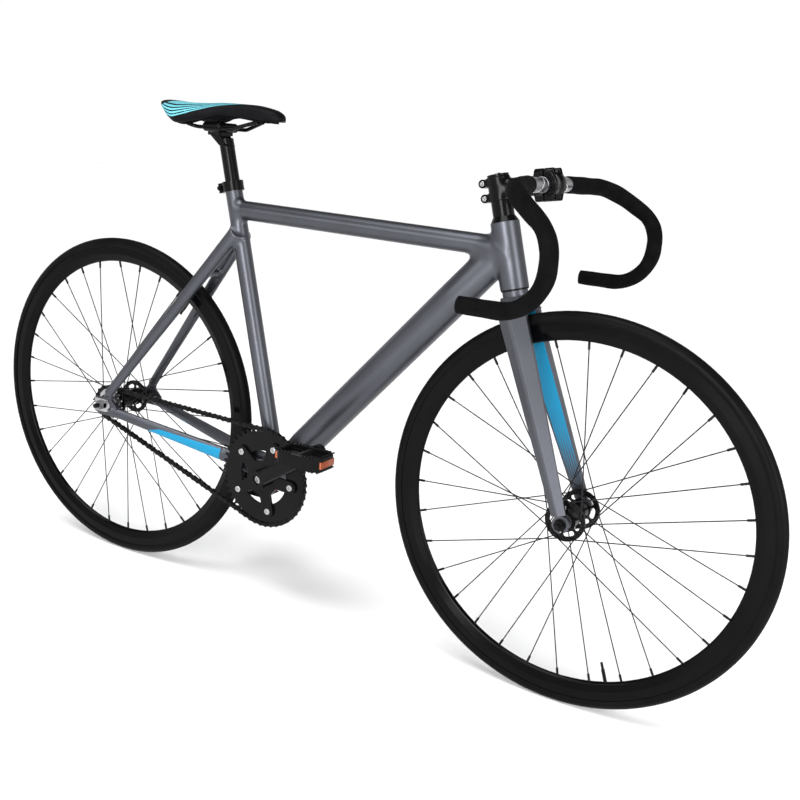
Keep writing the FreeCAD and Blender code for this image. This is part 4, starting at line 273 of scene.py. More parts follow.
def fork_paint():
    """Fork paint, blue on the inner faces of the legs, fading in fine lines towards the tips."""
    made, tree, shader = new_material("fork_paint")
    colour, flakes = paint_colours(tree)
    coordinate = add(tree, "ShaderNodeTexCoord")
    place, normal = coordinate.outputs["Object"], coordinate.outputs["Normal"]
    side = math_node(tree, "SIGN", axis_parts(tree, place)[1])
    facing = times(tree, side, axis_parts(tree, normal)[1], -1.0)
    inner = between(tree, facing, INNER_FACING, 2.0, 0.01)
    down = along_of(tree, place, HEAD_FOOT * MM, -HEAD_UP)
    across = along_of(tree, place, HEAD_FOOT * MM, HEAD_FORWARD)
    reach = FRONT_AXLE - HEAD_FOOT
    rake = float(reach @ HEAD_FORWARD) / float(-reach @ HEAD_UP)
    beside = minus(tree, across, times(tree, down, rake))
    waves = math_node(tree, "SINE", times(tree, beside, FORK_LINES))
    lines = plus(tree, 0.5, times(tree, waves, 0.5))
    fade = spread(tree, down, 0.0, 1.0, FORK_FADE_START, FORK_FADE_END)
    left = minus(tree, plus(tree, 1.0, times(tree, lines, FORK_LINE_WEIGHT)),
                 times(tree, fade, 1.0 + FORK_LINE_WEIGHT))
    kept = spread(tree, left, start=0.05, end=0.75)
    below = between(tree, down, FORK_PANEL_TOP, FAR, 0.001)
    paint_finish(tree, shader, colour, flakes, times(tree, inner, kept, below))
    return made


TYRE_LOW, TYRE_HIGH = (0.0012, 0.0012, 0.0012), (0.0028, 0.0028, 0.003)
CROWN_HALF, FILE_LINES, WALL_RINGS = 0.0075, 4200.0, 3100.0


def tyre_rubber():
    """Slick tyre: a fine file tread on the crown, smoother walls with moulded rings."""
    made, tree, shader = new_material("tyre_rubber")
    fine = noise(tree, 900.0)
    dust = noise(tree, 14.0, 4.0)
    across = axis_parts(tree, object_place(tree))[1]
    width = math_node(tree, "ABSOLUTE", across)
    crown = between(tree, width, -0.01, CROWN_HALF, 0.0006)
    file = math_node(tree, "SINE", times(tree, across, FILE_LINES))
    rings = math_node(tree, "SINE", times(tree, width, WALL_RINGS))
    tread = times(tree, crown, plus(tree, file, times(tree, fine, 2.0)))
    wall = times(tree, minus(tree, 1.0, crown), plus(tree, rings, fine))
    dress(tree, shader, {
        "Base Color": mixed(tree, spread(tree, dust), TYRE_LOW, TYRE_HIGH),
        "Roughness": spread(tree, crown, 0.42, 0.62, 0.0, 1.0), "Specular IOR Level": 0.05})
    bumped(tree, shader, plus(tree, tread, wall), 0.25, 0.00012)
    return made


def cell_pattern(tree, scale, **values):
    node = add(tree, "ShaderNodeTexVoronoi", {"Scale": scale, **values})
    tree.links.new(object_place(tree), node.inputs["Vector"])
    return node.outputs["Distance"]


FOAM_LOW, FOAM_HIGH = (0.0015, 0.0015, 0.0016), (0.0032, 0.0032, 0.0035)


def foam():
    """Closed-cell foam of the grips: a dense fine pebble."""
    made, tree, shader = new_material("grip_foam")
    cells = cell_pattern(tree, 900.0)
    broad = noise(tree, 60.0)
    dress(tree, shader, {
        "Base Color": mixed(tree, spread(tree, broad), FOAM_LOW, FOAM_HIGH),
        "Roughness": spread(tree, cells, 0.72, 0.95, 0.1, 0.6), "Specular IOR Level": 0.05})
    bumped(tree, shader, cells, 0.5, 0.0004)
    return made


SKIN_LOW, SKIN_HIGH = (0.0012, 0.0012, 0.0018), (0.0028, 0.0028, 0.0038)
TAIL_LOW, TAIL_HIGH = (0.11, 0.40, 0.47), (0.14, 0.45, 0.52)
FAN_FIRST, FAN_LAST, TAIL_END = 0.9, 5.0, 0.965


def saddle_skin():
    """Synthetic leather: black, with a pale blue tail whose thin dark lines fan out along each side."""
    made, tree, shader = new_material("saddle_skin")
    grain = cell_pattern(tree, 1300.0)
    soft = noise(tree, 45.0)
    black = mixed(tree, spread(tree, soft), SKIN_LOW, SKIN_HIGH)
    blue = mixed(tree, soft, TAIL_LOW, TAIL_HIGH)
    fan = add(tree, "ShaderNodeAttribute", attribute_name="fan").outputs["Fac"]
    tail = add(tree, "ShaderNodeAttribute", attribute_name="tail").outputs["Fac"]
    waves = math_node(tree, "SINE", times(tree, fan, 2 * math.pi))
    lines = times(tree, between(tree, waves, 0.25, 2.0, 0.1), between(tree, fan, FAN_FIRST, 9.0, 0.02))
    inside = times(tree, between(tree, fan, -1.0, FAN_LAST, 0.05), between(tree, tail, -2.0, TAIL_END, 0.004))
    show = times(tree, inside, minus(tree, 1.0, lines))
    dress(tree, shader, {
        "Base Color": mixed(tree, show, black, blue),
        "Roughness": spread(tree, grain, 0.40, 0.54, 0.1, 0.6), "Specular IOR Level": 0.07})
    bumped(tree, shader, plus(tree, grain, times(tree, soft, 0.5)), 0.35, 0.0003)
    return made


BAR_LOW, BAR_HIGH = (0.20, 0.20, 0.21), (0.27, 0.27, 0.285)
MARK_WHITE, COVERED_BLACK = (0.70, 0.70, 0.70), (0.003, 0.003, 0.003)
MARK_START, MARK_END, MARK_SLOPE, COVERED_FROM = 0.0475, 0.0495, 0.8, 0.1


def bar_alloy():
    """Bright drawn alloy, a thin white slanted mark each side of the stem, dark under the grips."""
    made, tree, shader = new_material("bar_alloy")
    place = object_place(tree)
    parts = axis_parts(tree, place)
    drawn = add(tree, "ShaderNodeMapping", {"Scale": (900.0, 12.0, 900.0)})
    tree.links.new(place, drawn.inputs["Vector"])
    brushed = noise(tree, 1.0, 3.0, drawn.outputs[0])
    metal = mixed(tree, spread(tree, brushed), BAR_LOW, BAR_HIGH)
    centre = (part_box("stem_faceplate")[0].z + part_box("stem_faceplate")[1].z) / 2
    slope = times(tree, minus(tree, parts[2], centre), MARK_SLOPE)
    width = math_node(tree, "ABSOLUTE", parts[1])
    mark = between(tree, plus(tree, width, slope), MARK_START, MARK_END, 0.0003)
    covered = between(tree, width, COVERED_FROM, FAR, 0.001)
    shown = mixed(tree, covered, mixed(tree, mark, metal, MARK_WHITE), COVERED_BLACK)
    dress(tree, shader, {
        "Base Color": shown, "Roughness": spread(tree, brushed, 0.22, 0.36),
        "Metallic": minus(tree, 1.0, math_node(tree, "MAXIMUM", mark, covered))})
    bumped(tree, shader, brushed, 0.1, 0.00005)
    return made


AMBER_LIGHT, AMBER_DEEP = (0.42, 0.09, 0.008), (0.20, 0.032, 0.003)


def amber():
    """Moulded reflector: a grid of small prisms under clear amber plastic."""
    made, tree, shader = new_material("amber_plastic")
    cells = cell_pattern(tree, 420.0, Randomness=0.0)
    dress(tree, shader, {
        "Base Color": mixed(tree, spread(tree, cells, 0.0, 1.0, 0.1, 0.6), AMBER_LIGHT, AMBER_DEEP),
        "Roughness": 0.12, "Coat Weight": 0.3, "Coat Roughness": 0.05})
    bumped(tree, shader, cells, 0.4, 0.0006)
    return made


def set_material(thing, made):
    thing.data.materials.clear()
    thing.data.materials.append(made)


# Smooth welded skins: a blend of tube distances, meshed on a grid and then pulled onto the surface

def tube_distance(points, start, end, sizes, up_hint):
    """Distance to a straight tube whose oval section goes from one pair of half sizes to another."""
    axis = end - start
    length = np.linalg.norm(axis)
    axis = axis / length
    side = unit(np.cross(up_hint, axis))
    up = np.cross(axis, side)
    away = points - start
    along = away @ axis
    share = np.clip(along / length, 0.0, 1.0)
    high = sizes[0][0] + (sizes[1][0] - sizes[0][0]) * share
    wide = sizes[0][1] + (sizes[1][1] - sizes[0][1]) * share
    u, v = (away @ up) / high, (away @ side) / wide
    reach = np.sqrt(u * u + v * v) + 1e-9
    slope = np.sqrt((u / high) ** 2 + (v / wide) ** 2) + 1e-9
    radial = reach * (reach - 1.0) / slope
    return np.maximum(radial, np.maximum(-along, along - length))


def round_tube(points, start, end, radius, up_hint):
    return tube_distance(points, start, end, ((radius, radius), (radius, radius)), up_hint)


def blended(first, second, radius):
    """Union of two distances with a fillet that adds at most a quarter of its radius."""
    reach = np.maximum(radius - np.abs(first - second), 0.0) / radius
    return np.minimum(first, second) - reach * reach * radius / 4.0


def surface_net(distance, low, high, step):
    """Quads where a distance function changes sign on a grid."""
    counts = np.ceil((np.array(high) - low) / step).astype(int) + 1
    axes = [low[i] + step * np.arange(counts[i]) for i in range(3)]
    field = np.empty(counts, np.float32)
    for i, x in enumerate(axes[0]):
        y, z = np.meshgrid(axes[1], axes[2], indexing="ij")
        points = np.stack([np.full(y.size, x), y.ravel(), z.ravel()], 1)
        field[i] = distance(points).reshape(y.shape)
    inside = field < 0
    total = np.zeros(counts - 1, np.int8)
    corners = [(i, j, k) for i in (0, 1) for j in (0, 1) for k in (0, 1)]
    for i, j, k in corners:
        total += inside[i:counts[0] - 1 + i, j:counts[1] - 1 + j, k:counts[2] - 1 + k]
    cells = np.argwhere((total > 0) & (total < 8))
    number = np.full(counts - 1, -1, np.int32)
    number[tuple(cells.T)] = np.arange(len(cells))
    spots = np.zeros((len(cells), 3))
    weight = np.zeros(len(cells))
    for a in corners:
        for axis in range(3):
            if a[axis]:
                continue
            b = tuple(1 if n == axis else a[n] for n in range(3))
            fa = field[tuple((cells + a).T)]
            fb = field[tuple((cells + b).T)]
            cross = (fa < 0) != (fb < 0)
            share = np.where(cross, fa / np.where(cross, fa - fb, 1.0), 0.0)
            spots += cross[:, None] * (np.array(a) + share[:, None] * (np.array(b) - np.array(a)))
            weight += cross
    verts = np.array(low) + step * (cells + spots / weight[:, None])
    faces = []
    for axis in range(3):
        n, m = [k for k in range(3) if k != axis]
        first = np.moveaxis(inside, axis, 0)
        change = np.moveaxis(first[1:] != first[:-1], 0, axis)
        spot = np.argwhere(change)
        spot = spot[(spot[:, n] > 0) & (spot[:, m] > 0)
                    & (spot[:, n] < counts[n] - 1) & (spot[:, m] < counts[m] - 1)]
        rising = inside[tuple(spot.T)]
        quad = []
        for dn, dm in ((1, 1), (0, 1), (0, 0), (1, 0)):
            cell = spot.copy()
            cell[:, n] -= dn
            cell[:, m] -= dm
            quad.append(number[tuple(cell.T)])
        quad = np.stack(quad, 1)
        flip = rising if axis != 1 else ~rising
        quad[~flip] = quad[~flip][:, ::-1]
        faces.append(quad)
    return verts, np.concatenate(faces)


def pulled(verts, distance, rounds=4, reach=0.05):
    """Moves points onto the zero of a distance function along its slope."""
    for _ in range(rounds):
        value = distance(verts)
        slope = np.stack([(distance(verts + reach * e) - distance(verts - reach * e)) / (2 * reach)
                          for e in np.eye(3)], 1)
        size = np.sum(slope * slope, 1) + 1e-6
        verts = verts - slope * np.clip(value / size, -3.0, 3.0)[:, None]
    return verts


def mesh_object(name, verts, faces, smooth=True):
    mesh = bpy.data.meshes.new(name)
    corners = [tuple(v) for v in np.asarray(verts) * MM]
    mesh.from_pydata(corners, [], [tuple(int(i) for i in f) for f in faces])
    mesh.update()
    if smooth:
        mesh.polygons.foreach_set("use_smooth", [True] * len(mesh.polygons))
    return placed(name, mesh)


def loft_faces(rows, around, base=0):
    """Quads between rows of points in rings, with both ends closed."""
    faces = []
    for start in range(base, base + (rows - 1) * around, around):
        for k in range(around):
            a, b = start + k, start + (k + 1) % around
            faces.append((a, b, b + around, a + around))
    last = base + (rows - 1) * around
    return faces + [tuple(reversed(range(base, base + around))), tuple(range(last, last + around))]


def face_outward(thing):
    bm = bmesh.new()
    bm.from_mesh(thing.data)
    bmesh.ops.recalc_face_normals(bm, faces=bm.faces)
    bm.to_mesh(thing.data)
    bm.free()


ON_PLANE = 2e-5


def cut_end(bm, point, normal, reach, bore, depth):
    """Cuts a tube off square, turns its rim inward into a bore and gives the edges at the bore's end."""
    point, normal = Vector(point * MM), Vector(normal)

    def close(vert):
        return (vert.co - point).length < reach * MM

    def level(vert):
        return abs((vert.co - point).dot(normal)) < ON_PLANE

    chosen = {v for v in bm.verts if close(v)}
    faces = [f for f in bm.faces if all(v in chosen for v in f.verts)]
    edges = list({e for f in faces for e in f.edges})
    verts = list({v for f in faces for v in f.verts})
    bmesh.ops.bisect_plane(bm, geom=verts + edges + faces, plane_co=point, plane_no=normal, clear_outer=True)
    loose = [e for e in bm.edges if e.is_boundary and all(close(v) for v in e.verts)]
    gap = [e for e in loose if not all(level(v) for v in e.verts)]
    if gap:
        bmesh.ops.contextual_create(bm, geom=gap)
    rim = [e for e in bm.edges if e.is_boundary and all(level(v) and close(v) for v in e.verts)]
    for inward in (True, False):
        made = bmesh.ops.extrude_edge_only(bm, edges=rim)["geom"]
        rim = [g for g in made if isinstance(g, bmesh.types.BMEdge)]
        for vert in (g for g in made if isinstance(g, bmesh.types.BMVert)):
            if inward:
                vert.co = point + (vert.co - point).normalized() * (bore * MM)
            else:
                vert.co = vert.co - normal * (depth * MM)
    for edge in bm.edges:
        if all(level(v) for v in edge.verts) and close(edge.verts[0]):
            edge.smooth = False
    return rim


# Half sizes of each section, upward and sideways, from the middle of the frame to the track ends
STAY_SECTIONS = ((16.0, 9.0), (14.0, 8.5), (9.5, 6.5), (6.5, 2.6))
SEATSTAY_SECTIONS = ((13.5, 11.0), (9.0, 6.5), (6.0, 2.6))
STAY_END = REAR_AXLE + np.array((29.0, -62.5, -9.0))
SEATSTAY_END = REAR_AXLE + np.array((20.0, -62.5, 27.0))
STAY_ALONG = unit(BB - STAY_END * np.array((1, 0, 1)))
STAY_UP = np.array((-STAY_ALONG[2], 0.0, STAY_ALONG[0]))
STAY_TIP, STAY_ROOT, STAY_KNEE, STAY_KNEE_SHARE = 13.0, 23.0, 26.0, 0.3
SEATSTAY_STATION, SEATSTAY_ROOT = 459.5, 14.0
# Shares along a stay and radii of the bridges between the two seatstays and the two chainstays
SEAT_BRIDGE, CHAIN_BRIDGE = (0.24, 7.0), (0.4, 6.0)
# Main tubes: each is made longer than it is by the spare, and then cut
CUT_SPARE, SHELL_SPARE = 9.0, 8.0
HEAD_RADIUS, SEAT_RADIUS, SHELL_RADIUS = 23.5, 15.9, 21.0
DOWN_SECTIONS = ((23.0, 23.0), (29.0, 29.0), (29.0, 29.0), (28.5, 18.5))
DOWN_STATION, DOWN_TAPER, DOWN_NARROWING, DOWN_SHORT = 69, 90.0, 125.0, 13.0
TOP_SECTIONS = ((17.4, 15.4), (17.45, 17.45), (17.45, 17.45))
TOP_SEAT_STATION, TOP_HEAD_STATION, TOP_START, TOP_TAPER = 502.7, 65, 3.0, 50.0
SEAMLESS, STAY_BEND = 0.05, 4.0
MAIN_FILLET, HEAD_FILLET, SHELL_FILLET, FRAME_FILLET, STAY_FILLET = 16.0, 8.0, 8.0, 9.0, 6.0
FRAME_LOW, FRAME_HIGH = (-492.0, -78.0, 232.0), (395.0, 78.0, 838.0)
FRAME_STEP, FRAME_STEP_QUICK = 2.3, 4.0
# Reach of each cut, radius of its bore and depth of it; the seat bore is deeper than the post ever goes
HEAD_CUT, SEAT_CUT, SHELL_CUT = (29.0, 20.5, 9.0), (21.0, 13.9, 300.0), (27.0, 17.2, 20.0)


def chainstay_points():
    run = STAY_END - BB
    knee = BB + np.array((run[0] * STAY_KNEE_SHARE, -STAY_KNEE, run[2] * STAY_KNEE_SHARE))
    tip = STAY_END + unit(STAY_END - knee) * STAY_TIP
    tip[1] = STAY_END[1]
    return [BB - SIDE * STAY_ROOT, knee, STAY_END, tip]


def seatstay_points():
    root = seat_point(SEATSTAY_STATION) - SIDE * SEATSTAY_ROOT
    tip = SEATSTAY_END + unit(SEATSTAY_END - root) * STAY_TIP
    tip[1] = SEATSTAY_END[1]
    return [root, SEATSTAY_END, tip]


def polyline_distance(points, stops, sections, up_hint, radius):
    value = None
    for start, end, first, second in zip(stops, stops[1:], sections, sections[1:]):
        piece = tube_distance(points, start, end, (first, second), up_hint)
        value = piece if value is None else blended(value, piece, radius)
    return value


def bridge_distance(points, stops, share, radius):
    middle = stops[0] + (stops[1] - stops[0]) * share
    return round_tube(points, middle, middle * MIRROR, radius, HEAD_FORWARD)


def frame_distance(points):
    """The welded frame: main tubes with wide fillets, stays with narrow ones."""
    both = points.copy()
    both[:, 1] = -np.abs(both[:, 1])
    foot = steer(0, 0, DOWN_STATION)
    line = unit(foot - BB)
    stops = BB, BB + line * DOWN_TAPER, foot - line * DOWN_NARROWING, foot - line * DOWN_SHORT
    down = polyline_distance(points, stops, DOWN_SECTIONS, UP, SEAMLESS)
    head = round_tube(points, steer(0, 0, -CUT_SPARE), steer(0, 0, HEAD_TUBE_LENGTH + CUT_SPARE), HEAD_RADIUS,
                      HEAD_FORWARD)
    seat_end, head_end = seat_point(TOP_SEAT_STATION), steer(0, 0, TOP_HEAD_STATION)
    line = unit(head_end - seat_end)
    stops = seat_end + line * TOP_START, seat_end + line * TOP_TAPER, head_end
    top = polyline_distance(points, stops, TOP_SECTIONS, UP, SEAMLESS)
    seat = round_tube(points, BB, seat_point(SEAT_TUBE_LENGTH + CUT_SPARE), SEAT_RADIUS, HEAD_FORWARD)
    half = SIDE * (SHELL_HALF + SHELL_SPARE)
    shell = round_tube(points, BB - half, BB + half, SHELL_RADIUS, UP)
    value = blended(blended(down, top, MAIN_FILLET), head, HEAD_FILLET)
    value = blended(value, blended(seat, shell, SHELL_FILLET), FRAME_FILLET)
    stays = blended(polyline_distance(both, chainstay_points(), STAY_SECTIONS, UP, STAY_BEND),
                    polyline_distance(both, seatstay_points(), SEATSTAY_SECTIONS, UP, STAY_BEND), STAY_FILLET)
    value = blended(value, stays, FRAME_FILLET)
    bridges = np.minimum(bridge_distance(points, seatstay_points(), *SEAT_BRIDGE),
                         bridge_distance(points, chainstay_points(), *CHAIN_BRIDGE))
    return blended(value, bridges, STAY_FILLET)


def welded_frame(material):
    """One skin for the frame's tubes, bored through the head tube and shell and down the seat tube."""
    step = FRAME_STEP
    verts, faces = surface_net(frame_distance, FRAME_LOW, FRAME_HIGH, step)
    thing = mesh_object("welded_frame", pulled(verts, frame_distance), faces)
    bm = bmesh.new()
    bm.from_mesh(thing.data)
    rims = [cut_end(bm, steer(0, 0, up), HEAD_UP * way, *HEAD_CUT)
            for up, way in ((HEAD_TUBE_LENGTH, 1), (0, -1))]
    bmesh.ops.bridge_loops(bm, edges=rims[0] + rims[1])
    bmesh.ops.edgeloop_fill(bm, edges=cut_end(bm, seat_point(SEAT_TUBE_LENGTH), SEAT_UP, *SEAT_CUT))
    rims = [cut_end(bm, BB + SIDE * SHELL_HALF * way, SIDE * way, *SHELL_CUT) for way in (-1, 1)]
    bmesh.ops.bridge_loops(bm, edges=rims[0] + rims[1])
    bmesh.ops.holes_fill(bm, edges=[edge for edge in bm.edges if edge.is_boundary], sides=4)
    bm.to_mesh(thing.data)
    bm.free()
    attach(thing, "frame")
    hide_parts("head_tube", "top_tube", "down_tube", "seat_tube", "bottom_bracket_shell",
                "chainstays", "seatstays", "stay_bridges")
    set_material(thing, material)


# Saddle

SADDLE_LENGTH, SADDLE_HALF, SADDLE_HEIGHT = 262.0, 67.0, 32.0
SADDLE_RISE, SADDLE_NOSE = 53.4, 130.0
EDGE_SHARE, SKIRT_SHARE, ARCH_SHARE = 0.45, 0.86, 0.2
CHANNEL_DEPTH, CHANNEL_HALF, CHANNEL_MIDDLE, CHANNEL_REACH = 2.0, 7.0, 0.58, 0.22
FAN_LINES, FAN_ORIGIN, NO_FAN, TAIL_LEAN = 3.4, 0.30, 50.0, 0.10
# Shares of the length, half width and height at stations from the nose to the tail
SADDLE_STATIONS = (0.0, 0.02, 0.08, 0.25, 0.45, 0.62, 0.78, 0.86, 0.93, 0.98, 1.0)
SADDLE_WIDTHS = (0.075, 0.18, 0.275, 0.33, 0.44, 0.74, 0.93, 0.86, 0.7, 0.55, 0.42)
SADDLE_TOPS = (-0.25, -0.06, 0.15, 0.34, 0.37, 0.29, 0.26, 0.28, 0.31, 0.33, 0.27)
SADDLE_BOTTOMS = (-0.47, -0.52, -0.53, -0.45, -0.4, -0.74, -0.98, -0.7, -0.36, -0.1, 0.02)


def smooth_value(share, values):
    """Smooth curve through the saddle's stations that never swings past them."""
    at, values = np.array(SADDLE_STATIONS), np.array(values)
    gaps = np.diff(at)
    rises = np.diff(values) / gaps
    same = rises[:-1] * rises[1:] > 0
    both = np.where(same, rises[:-1] + rises[1:], 1.0)
    middle = np.where(same, 2 * rises[:-1] * rises[1:] / both, 0.0)
    slopes = np.concatenate([rises[:1], middle, rises[-1:]])
    index = int(np.clip(np.searchsorted(at, share) - 1, 0, len(at) - 2))
    gap = gaps[index]
    t = (share - at[index]) / gap
    a, b = (1 + 2 * t) * (1 - t) ** 2, t * (1 - t) ** 2
    c, d = t * t * (3 - 2 * t), t * t * (t - 1)
    return (a * values[index] + b * gap * slopes[index]
            + c * values[index + 1] + d * gap * slopes[index + 1])


def saddle_ring(share, level):
    """One section of the cover: crowned top, rolled side, drawn-in skirt and arched underside."""
    half = SADDLE_HALF * smooth_value(share, SADDLE_WIDTHS)
    crown = level + SADDLE_HEIGHT * smooth_value(share, SADDLE_TOPS)
    foot = level + SADDLE_HEIGHT * smooth_value(share, SADDLE_BOTTOMS)
    edge = foot + (crown - foot) * EDGE_SHARE
    drawn = half * SKIRT_SHARE
    channel = CHANNEL_DEPTH * math.exp(-((share - CHANNEL_MIDDLE) / CHANNEL_REACH) ** 2)
    ring = []
    for k in range(25):
        turn = math.pi * (1 - k / 24)
        y = half * math.copysign(abs(math.cos(turn)) ** 0.85, math.cos(turn))
        z = edge + (crown - edge) * math.sin(turn) ** 0.9
        ring.append((y, z - channel * math.exp(-(y / CHANNEL_HALF) ** 2)))
    skirt = [(half + (drawn - half) * t * t, edge + (foot - edge) * t ** 0.8) for t in (0.25, 0.5, 0.75)]
    under = []
    for k in range(13):
        y = drawn * (1 - k / 6)
        under.append((y, foot + half * ARCH_SHARE * (1 - (y / drawn) ** 2)))
    return ring + skirt + under + [(-y, z) for y, z in reversed(skirt)], crown, foot


def saddle():
    """Padded cover lofted through its sections, with the values that its lines follow."""
    level, nose = POST_TOP[2] + SADDLE_RISE, POST_TOP[0] + SADDLE_NOSE
    shares = np.concatenate([np.linspace(0, 0.08, 10)[:-1], np.linspace(0.08, 0.9, 62)[:-1],
                             np.linspace(0.9, 1.0, 16)])
    verts, tails, fans = [], [], []
    for share in shares:
        ring, crown, foot = saddle_ring(share, level)
        for y, z in ring:
            verts.append((nose - SADDLE_LENGTH * share, y, z))
            height = min(1.0, max(0.0, (z - foot) / max(crown - foot, 1.0)))
            tails.append(share + TAIL_LEAN * (height - 0.25))
            fans.append(FAN_LINES * (1.0 - height) / (share - FAN_ORIGIN) if share > 0.31 else NO_FAN)
    thing = mesh_object("saddle_cover_skin", np.array(verts), loft_faces(len(shares), len(ring)))
    for name, values in (("tail", tails), ("fan", fans)):
        attribute = thing.data.attributes.new(name, "FLOAT", "POINT")
        attribute.data.foreach_set("value", np.array(values, np.float32))
    face_outward(thing)
    thing.modifiers.new("round", "SUBSURF").render_levels = 1
    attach(thing, "seat")
    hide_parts("saddle_cover")
    set_material(thing, saddle_skin())


# Bar grips

BAR_REACH, BAR_HALF, BAR_RAMP, BAR_DROP = 109.3, 244.0, 56.0, 165.0
BAR_FLAT, BAR_END, BAR_BEND = 86.0, -12.7, (0.276, 0.867, 0.045)
BAR_RADIUS, BEND_RADII, ARC_STEPS = 12.0, (40.0, 80.0, 60.0, 67.0), 16
GRIP_START, GRIP_STEP, GRIP_LIP, GRIP_AROUND = 76.0, 4.0, 5.0, 36
GRIP_SHARES, GRIP_RADII = (0.0, 0.2, 0.5, 0.75, 1.0), (13.6, 14.3, 13.1, 12.7, 12.5)


def bar_line():
    """Centre line of the right half of the bar, outward from the stem, as close points."""
    corners = BAR_CENTRE + np.array((
        (0, 0, 0), (0, -BAR_FLAT, 0),
        (BAR_REACH * BAR_BEND[0], -BAR_HALF * BAR_BEND[1], -BAR_RAMP * BAR_BEND[2]),
        (BAR_REACH, -BAR_HALF, -BAR_RAMP), (BAR_REACH, -BAR_HALF, -BAR_DROP),
        (BAR_END, -BAR_HALF, -BAR_DROP)))
    points = [corners[0]]
    for before, corner, after, radius in zip(corners, corners[1:], corners[2:], BEND_RADII):
        back, ahead = unit(before - corner), unit(after - corner)
        half_turn = (math.pi - math.acos(np.clip(back @ ahead, -1, 1))) / 2
        inward = unit(back + ahead)
        hub = corner + inward * radius / math.cos(half_turn)
        for k in range(ARC_STEPS + 1):
            angle = -half_turn + 2 * half_turn * k / ARC_STEPS
            outward = -inward * math.cos(angle) + unit(ahead - back) * math.sin(angle)
            points.append(hub + outward * radius)
    points.append(corners[-1])
    return np.array(points)


def resampled(points, step):
    lengths = np.concatenate([[0], np.cumsum(np.linalg.norm(np.diff(points, axis=0), axis=1))])
    at = np.linspace(0, lengths[-1], int(lengths[-1] / step) + 1)
    return np.stack([np.interp(at, lengths, points[:, i]) for i in range(3)], 1), at


def swept(name, points, radii, around):
    """Tube of changing radius along a line, closed at both ends."""
    verts, side = [], None
    for index, (point, radius) in enumerate(zip(points, radii)):
        along = unit(points[min(index + 1, len(points) - 1)] - points[max(index - 1, 0)])
        start = UP if side is None else side
        side = unit(start - along * (start @ along))
        other = np.cross(along, side)
        for k in range(around):
            turn = 2 * math.pi * k / around
            verts.append(point + (side * math.cos(turn) + other * math.sin(turn)) * radius)
    return mesh_object(name, np.array(verts), loft_faces(len(points), around))


def grips(material):
    """Foam sleeves that swell unevenly along the bar."""
    line, at = resampled(bar_line(), GRIP_STEP)
    keep = at >= GRIP_START
    line, at = line[keep], at[keep] - at[keep][0]
    wobble = 0.35 * np.sin(at / 19.0) + 0.25 * np.sin(at / 7.3 + 1.0)
    radius = np.interp(at / at[-1], GRIP_SHARES, GRIP_RADII) + wobble
    lip = np.sqrt(np.clip(at / GRIP_LIP, 0, 1))
    radius = np.where(at < GRIP_LIP, BAR_RADIUS + (radius - BAR_RADIUS) * lip, radius)
    for name, mirror in (("right", 1), ("left", -1)):
        thing = swept("grip_" + name, line * np.array((1, mirror, 1)), radius, GRIP_AROUND)
        set_material(thing, material)
        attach(thing, "steering")
        if name == "right":
            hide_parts("grips")


# Castings: the stem, its faceplate and the saddle clamp

def barrel_distance(points, start, end, radius, edge):
    """Distance to a cylinder with rolled rims; the radius may be a value for each point."""
    axis = unit(end - start)
    away = points - (start + end) / 2
    along = away @ axis
    radial = np.linalg.norm(away - along[:, None] * axis, axis=1)
    a = radial - (radius - edge)
    b = np.abs(along) - (np.linalg.norm(end - start) / 2 - edge)
    outside = np.sqrt(np.maximum(a, 0.0) ** 2 + np.maximum(b, 0.0) ** 2)
    return outside + np.minimum(np.maximum(a, b), 0.0) - edge


def block_distance(points, centre, axes, halves, edge):
    """Distance to a block with rolled edges."""
    away = np.abs((points - centre) @ np.array(axes).T) - (np.array(halves) - edge)
    return np.linalg.norm(np.maximum(away, 0.0), axis=1) + np.minimum(away.max(1), 0.0) - edge


def bored(value, points, start, end, radius):
    return np.maximum(value, -barrel_distance(points, start, end, radius, 0.0))


BAR_BOLTS = [(up, side) for up in (-19.0, 19.0) for side in (-14.0, 14.0)]
BOLT_SEAT, BOLT_BORE, BAR_BORE, STEERER_BORE, PAST = 8.5, 4.7, 12.8, 14.4, 40.0
BAR_CLAMP_HALF, BAR_CLAMP_RADIUS, WAIST_DEPTH, WAIST_HALF = 21.0, 22.5, 2.6, 6.5
POST_HALF, POST_RADIUS, PARTING = 16.0, 6.4, 1.0
STEM_HALF, STEM_RADIUS, ARM_SECTION, ARM_SHORT = 19.0, 18.5, (15.5, 14.5), 12.0
PINCH_BACK, PINCH_UPS, PINCH_SEAT, SLIT_START = -24.0, (-11.8, 11.8), 8.0, 14.0
LUG_HALF, LUG_RADIUS, WEB_AHEAD, WEB_HALVES = 12.0, 7.0, 7.0, (8.0, 12.0, 6.0)
JAW_HALVES, JAW_EDGE, JAW_RISE, JAW_GAP = (22.0, 29.0, 8.5), 7.0, 1.5, 0.8
DRUM_HALF, DRUM_DROP, DRUM_RADIUS = 17.0, 6.0, 12.0
RAIL_SIDE, RAIL_BORE, RAIL_REACH, CLAMP_BOLT_TOP, CLAMP_BOLT_RADIUS = 22.0, 3.6, 60.0, 12.5, 6.5


